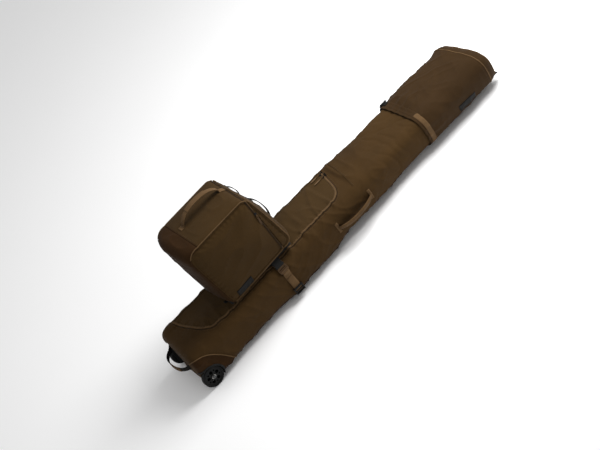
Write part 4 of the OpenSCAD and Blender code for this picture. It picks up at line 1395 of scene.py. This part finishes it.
def haul_loop():
    """The black loop on the pack's top end, and a second thin one beside it."""
    for name, y, low, high, rise, nodes in (("pack_haul_webbing", 0.0, 322, 468, 18, ["pack_haul_loop"]),
                                            ("pack_haul_side", 92.0, 468, 540, 9, [])):
        row = pack_band([y], 1.0)[0]
        row = row[(row[:, 0] > PACK_MIDDLE[0] + 130) & (row[:, 1] == y)]
        foot = row[np.argmin(np.abs(row[:, 2] - low))]
        head = row[np.argmin(np.abs(row[:, 2] - high))]
        chord = head - foot
        out = np.array([chord[2], 0, -chord[0]]) / np.linalg.norm(chord)
        t = np.linspace(-1, 1, 70)
        path = ((foot + head) / 2 + chord * (t / 2)[:, None] + out * (rise * (1 - np.abs(t) ** 2.4))[:, None]
                + np.array([0, 1.0, 0]) * (3 * np.sin(t * 2.2))[:, None])
        webbing(name, path, across_plane(path, (0, 1.0, 0)), 20 if nodes else 12, 3.6, BLACK_WEB, "pack_lid", nodes)
        for end, spot in (("low", foot), ("high", head)):
            rows = [row[np.argmin(np.abs(row[:, 2] - spot[2] - shift))] for shift in np.linspace(-13, 13, 9)]
            webbing(f"{name}_{end}_anchor", evenly(np.array(rows), 8), (1, 0, 0.2), 26 if nodes else 16, 2.2,
                    BLACK_WEB, "pack_lid")


def pack_label():
    rows, columns = 24, 14
    grid_x, grid_z, edge = grid_of(np.linspace(369, 465, rows), np.linspace(243, 283, columns))
    points = pack_side_surface(grid_x, grid_z, -1, label_height(edge, 2.0))
    label = piece("pack_blank_label", points.reshape(-1, 3), grid_faces(rows, columns), LABEL, "boot_pack",
                  ["pack_label"])
    thicken(label, 1.5)


def shoulder_straps():
    """Padded shoulder straps folded away between the pack and the bag, with their webbing."""
    rows, columns, half = 60, 14, 31
    for name, side in (("right", -1), ("left", 1)):
        grid_x, grid_y, _ = grid_of(np.linspace(402, 688, rows), np.linspace(-half, half, columns))
        ends = ramp(402, 418, grid_x) * (1 - ramp(672, 688, grid_x))
        high = 8.6 * (1 - np.abs(grid_y / half) ** 4) * ends + 0.4
        low, high = [stacked(grid_x, side * 70 + grid_y, 213.6 + sign * high) for sign in (-1, 1)]
        points, faces = slab(low, high, rows, columns)
        strap = piece(f"shoulder_strap_{name}", points, faces, BLACK_MESH, "boot_pack",
                      ["shoulder_straps"] if side < 0 else ())
        path = spline([(402, side * 72, 216), (370, side * 75, 219), (330, side * 78, 221), (308, side * 80, 226)], 30)
        webbing(f"shoulder_webbing_{name}", path, (0, 0, 1), 22, 2.4, BLACK_WEB, "boot_pack",
                ["shoulder_webbing"] if side < 0 else ())


# ---- zip sliders and pulls -----------------------------------------------------------------------------

def slider(name, base, run, out, body, nodes):
    """A slider's wedge-shaped body and its bridge; run is the way it slides and out the surface's normal."""
    base, run, out = (np.asarray(v, float) for v in (base, run, out))
    side = np.cross(out, run)
    outline = [(-9, 3.4), (-9, -3.4), (2, -6.2), (9, -5.2), (9, 5.2), (2, 6.2)]
    shape = bmesh.new()
    for low, high in ((0.2, 1.6), (2.2, 3.4)):
        extrude(shape, *[[base + run * x + side * y + out * height for x, y in outline] for height in (low, high)])
    bridge = [(-5, 3.0), (-4, 6.4), (0, 8.2), (4, 6.4), (5, 3.0)]
    for first, second in zip(bridge, bridge[1:]):
        corners = [base + run * x + side * w + out * (h - d) for x, h in (first, second) for w in (-1.5, 1.5)
                   for d in (0, 1.3)]
        made = [shape.verts.new(c) for c in corners]
        for f in ((0, 2, 6, 4), (1, 5, 7, 3), (0, 1, 3, 2), (4, 6, 7, 5), (0, 4, 5, 1), (2, 3, 7, 6)):
            shape.faces.new([made[i] for i in f])
    return from_shape(name, shape, BLACK_PLASTIC, body, nodes, bevel=0.4)


def pull(name, start, way, out, body, nodes, grip=None, long=58):
    """A zip pull: a knotted loop of cord that ends in a moulded grip."""
    start, way, out = (np.asarray(v, float) for v in (start, way, out))
    side = np.cross(out, way)
    t = np.linspace(0, 1, 44)
    half = np.sin(t * math.pi * 2)
    reach = 0.5 - 0.5 * np.cos(t * 2 * math.pi)
    loop = (start + way * (reach * (long - 30))[:, None] + side * (half * 2.6)[:, None]
            + out * (1.2 * np.sin(t * 9))[:, None])
    sweep(f"{name}_cord", loop[:-1], out, round_section(1.3, 8), LIGHT_WEB, body, nodes, closed=True)
    outline = [(long - 36, 2.6), (long - 24, 4.2), (long - 10, 3.8), (long, 2.2), (long + 1, -2.2), (long - 10, -3.8),
               (long - 24, -4.2), (long - 36, -2.6)]
    shape = bmesh.new()
    extrude(shape, *[[start + way * x + side * y + out * height for x, y in outline] for height in (-1.9, 1.9)])
    from_shape(f"{name}_grip", shape, grip or BROWN_PLASTIC, body, bevel=1.2)


def pack_sliders():
    for letter, side in (("a", -1), ("b", 1)):
        base = pack_side_surface(PACK_ZIP, 500, side, 1.4)
        out = np.array([0, float(side), 0])
        slider(f"pack_slider_{letter}_body", base, (0, 0, 1), out, f"pack_slider_{letter}", [f"pack_slider_{letter}"])
        pull(f"pack_pull_{letter}", base + out * 7.0, np.array([-0.12, 0, -1.0]), out, f"pack_pull_{letter}",
             [f"pack_pull_{letter}"])


# ---- parts kept from the frame, and small hardware ---------------------------------------------------------

KEPT = {
    BLACK_PLASTIC: ["right_wheel_housing", "left_wheel_housing", "right_rim", "left_rim", "inner_buckles",
                    "flap_slider_a", "flap_slider_b"],
    TYRE: ["right_tyre", "left_tyre"],
    STEEL: ["right_bearings", "left_bearings"],
    DARK_STEEL: ["axle_pins"],
}


def inner_straps():
    """The two straps that hold the skis down, lying on the back inside the bag."""
    across = np.linspace(-104, 104, 60)
    around = np.where(across > 0, -1, 1) * (HALF_ROUND - np.abs(across))
    for x in INNER_STRAPS_X:
        path = lower_surface(np.full(60, x), around, -8.0)
        webbing(f"inner_strap_{x:.0f}", path, (0, 0, 1), 38, 2.2, BLACK_WEB, "ski_bag",
                ["inner_straps"] if x == INNER_STRAPS_X[0] else ())


def dress_kept_nodes():
    for material, nodes in KEPT.items():
        for node in nodes:
            thing = next(o for o in bpy.data.objects if o.get("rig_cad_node") == node)
            thing.data.materials.clear()
            thing.data.materials.append(material)


def flap_pulls():
    for letter in ("a", "b"):
        start = to_bag(Vector(JOINTS[f"flap_pull_{letter}_lift"]["pos_m"]))
        pull(f"flap_pull_{letter}", start, np.array([-1.0, 0, 0]), np.array([0, 0, 1.0]), f"flap_pull_{letter}",
             [f"flap_pull_{letter}"], LIGHT_GRIP)


# ---- floor, light and camera ----------------------------------------------------------------------------

def floor():
    mesh = bpy.data.meshes.new("floor")
    reach = 14
    corners = [(-reach, -reach, 0), (reach, -reach, 0), (reach, reach, 0), (-reach, reach, 0)]
    mesh.from_pydata(corners, [], [(0, 1, 2, 3)])
    thing = placed("floor", mesh)
    n = Nodes("floor_paint")
    tone = n.blend(n.noise(0.6, 2), (0.93, 0.93, 0.93), (0.95, 0.95, 0.95))
    mesh.materials.append(n.finish(tone, roughness=n.spread(n.noise(3, 2), -1.5, 1.5)))


def softbox(name, place, target, size, power):
    data = bpy.data.lights.new(name, "AREA")
    data.energy = power
    data.shape = "RECTANGLE"
    data.size, data.size_y = size
    lamp = placed(name, data)
    lamp.location = place
    lamp.rotation_mode = "QUATERNION"
    lamp.rotation_quaternion = (Vector(target) - Vector(place)).to_track_quat("-Z", "Y")


def light():
    softbox("key", (1.5, -0.3, 2.3), (0.3, 0, 0.1), (1.4, 1.4), 95)
    softbox("front", (0.6, -4.2, 2.6), (0.2, 0, 0.2), (4.0, 2.2), 10)
    world = bpy.data.worlds.new("studio")
    bpy.context.scene.world = world
    world.use_nodes = True
    background = world.node_tree.nodes["Background"]
    background.inputs["Color"].default_value = (1.0, 1.0, 1.0, 1)
    background.inputs["Strength"].default_value = 0.58


ROLL = math.radians(46.3)                        # of the bag above the picture's horizontal
VIEW_BACK = Vector((-0.174, -0.781, 0.600))      # from the bag to the camera, in the bag's frame
VIEW_TARGET = (821, 0, 160)
VIEW_WIDTH = 2.75                                # metres across the picture at the target


def camera():
    data = bpy.data.cameras.new("camera")
    data.lens = 135
    data.sensor_width = 36
    thing = placed("camera", data)
    back = (TURN @ VIEW_BACK).normalized()
    along = TURN @ Vector((1, 0, 0))
    first = (along - along.dot(back) * back).normalized()
    second = first.cross(back)
    right = math.cos(ROLL) * first + math.sin(ROLL) * second
    up = math.sin(ROLL) * first - math.cos(ROLL) * second
    thing.rotation_mode = "QUATERNION"
    thing.rotation_quaternion = Matrix((right, up, back)).transposed().to_quaternion()
    distance = VIEW_WIDTH * data.lens / data.sensor_width
    thing.location = Vector(to_row(VIEW_TARGET)) + back * distance
    data.clip_end = 100
    bpy.context.scene.camera = thing
    bpy.context.scene.view_settings.view_transform = "Standard"


camera()
floor()
light()
dress_kept_nodes()
inner_straps()
lower_shell()
flap()
flap_trim()
for which in (-1, 1):
    wheel_guard(which)
wheel_arches()
back_cover()
side_seams()
sleeve_shell()
sleeve_trim()
sleeve_fittings()
buckle()
lower_strap()
carry_handle()
base_handle()
pack_shell()
pack_floor()
pack_piping()
pack_zip()
pack_seams()
pack_handle()
haul_loop()
pack_label()
shoulder_straps()
pack_sliders()
flap_pulls()
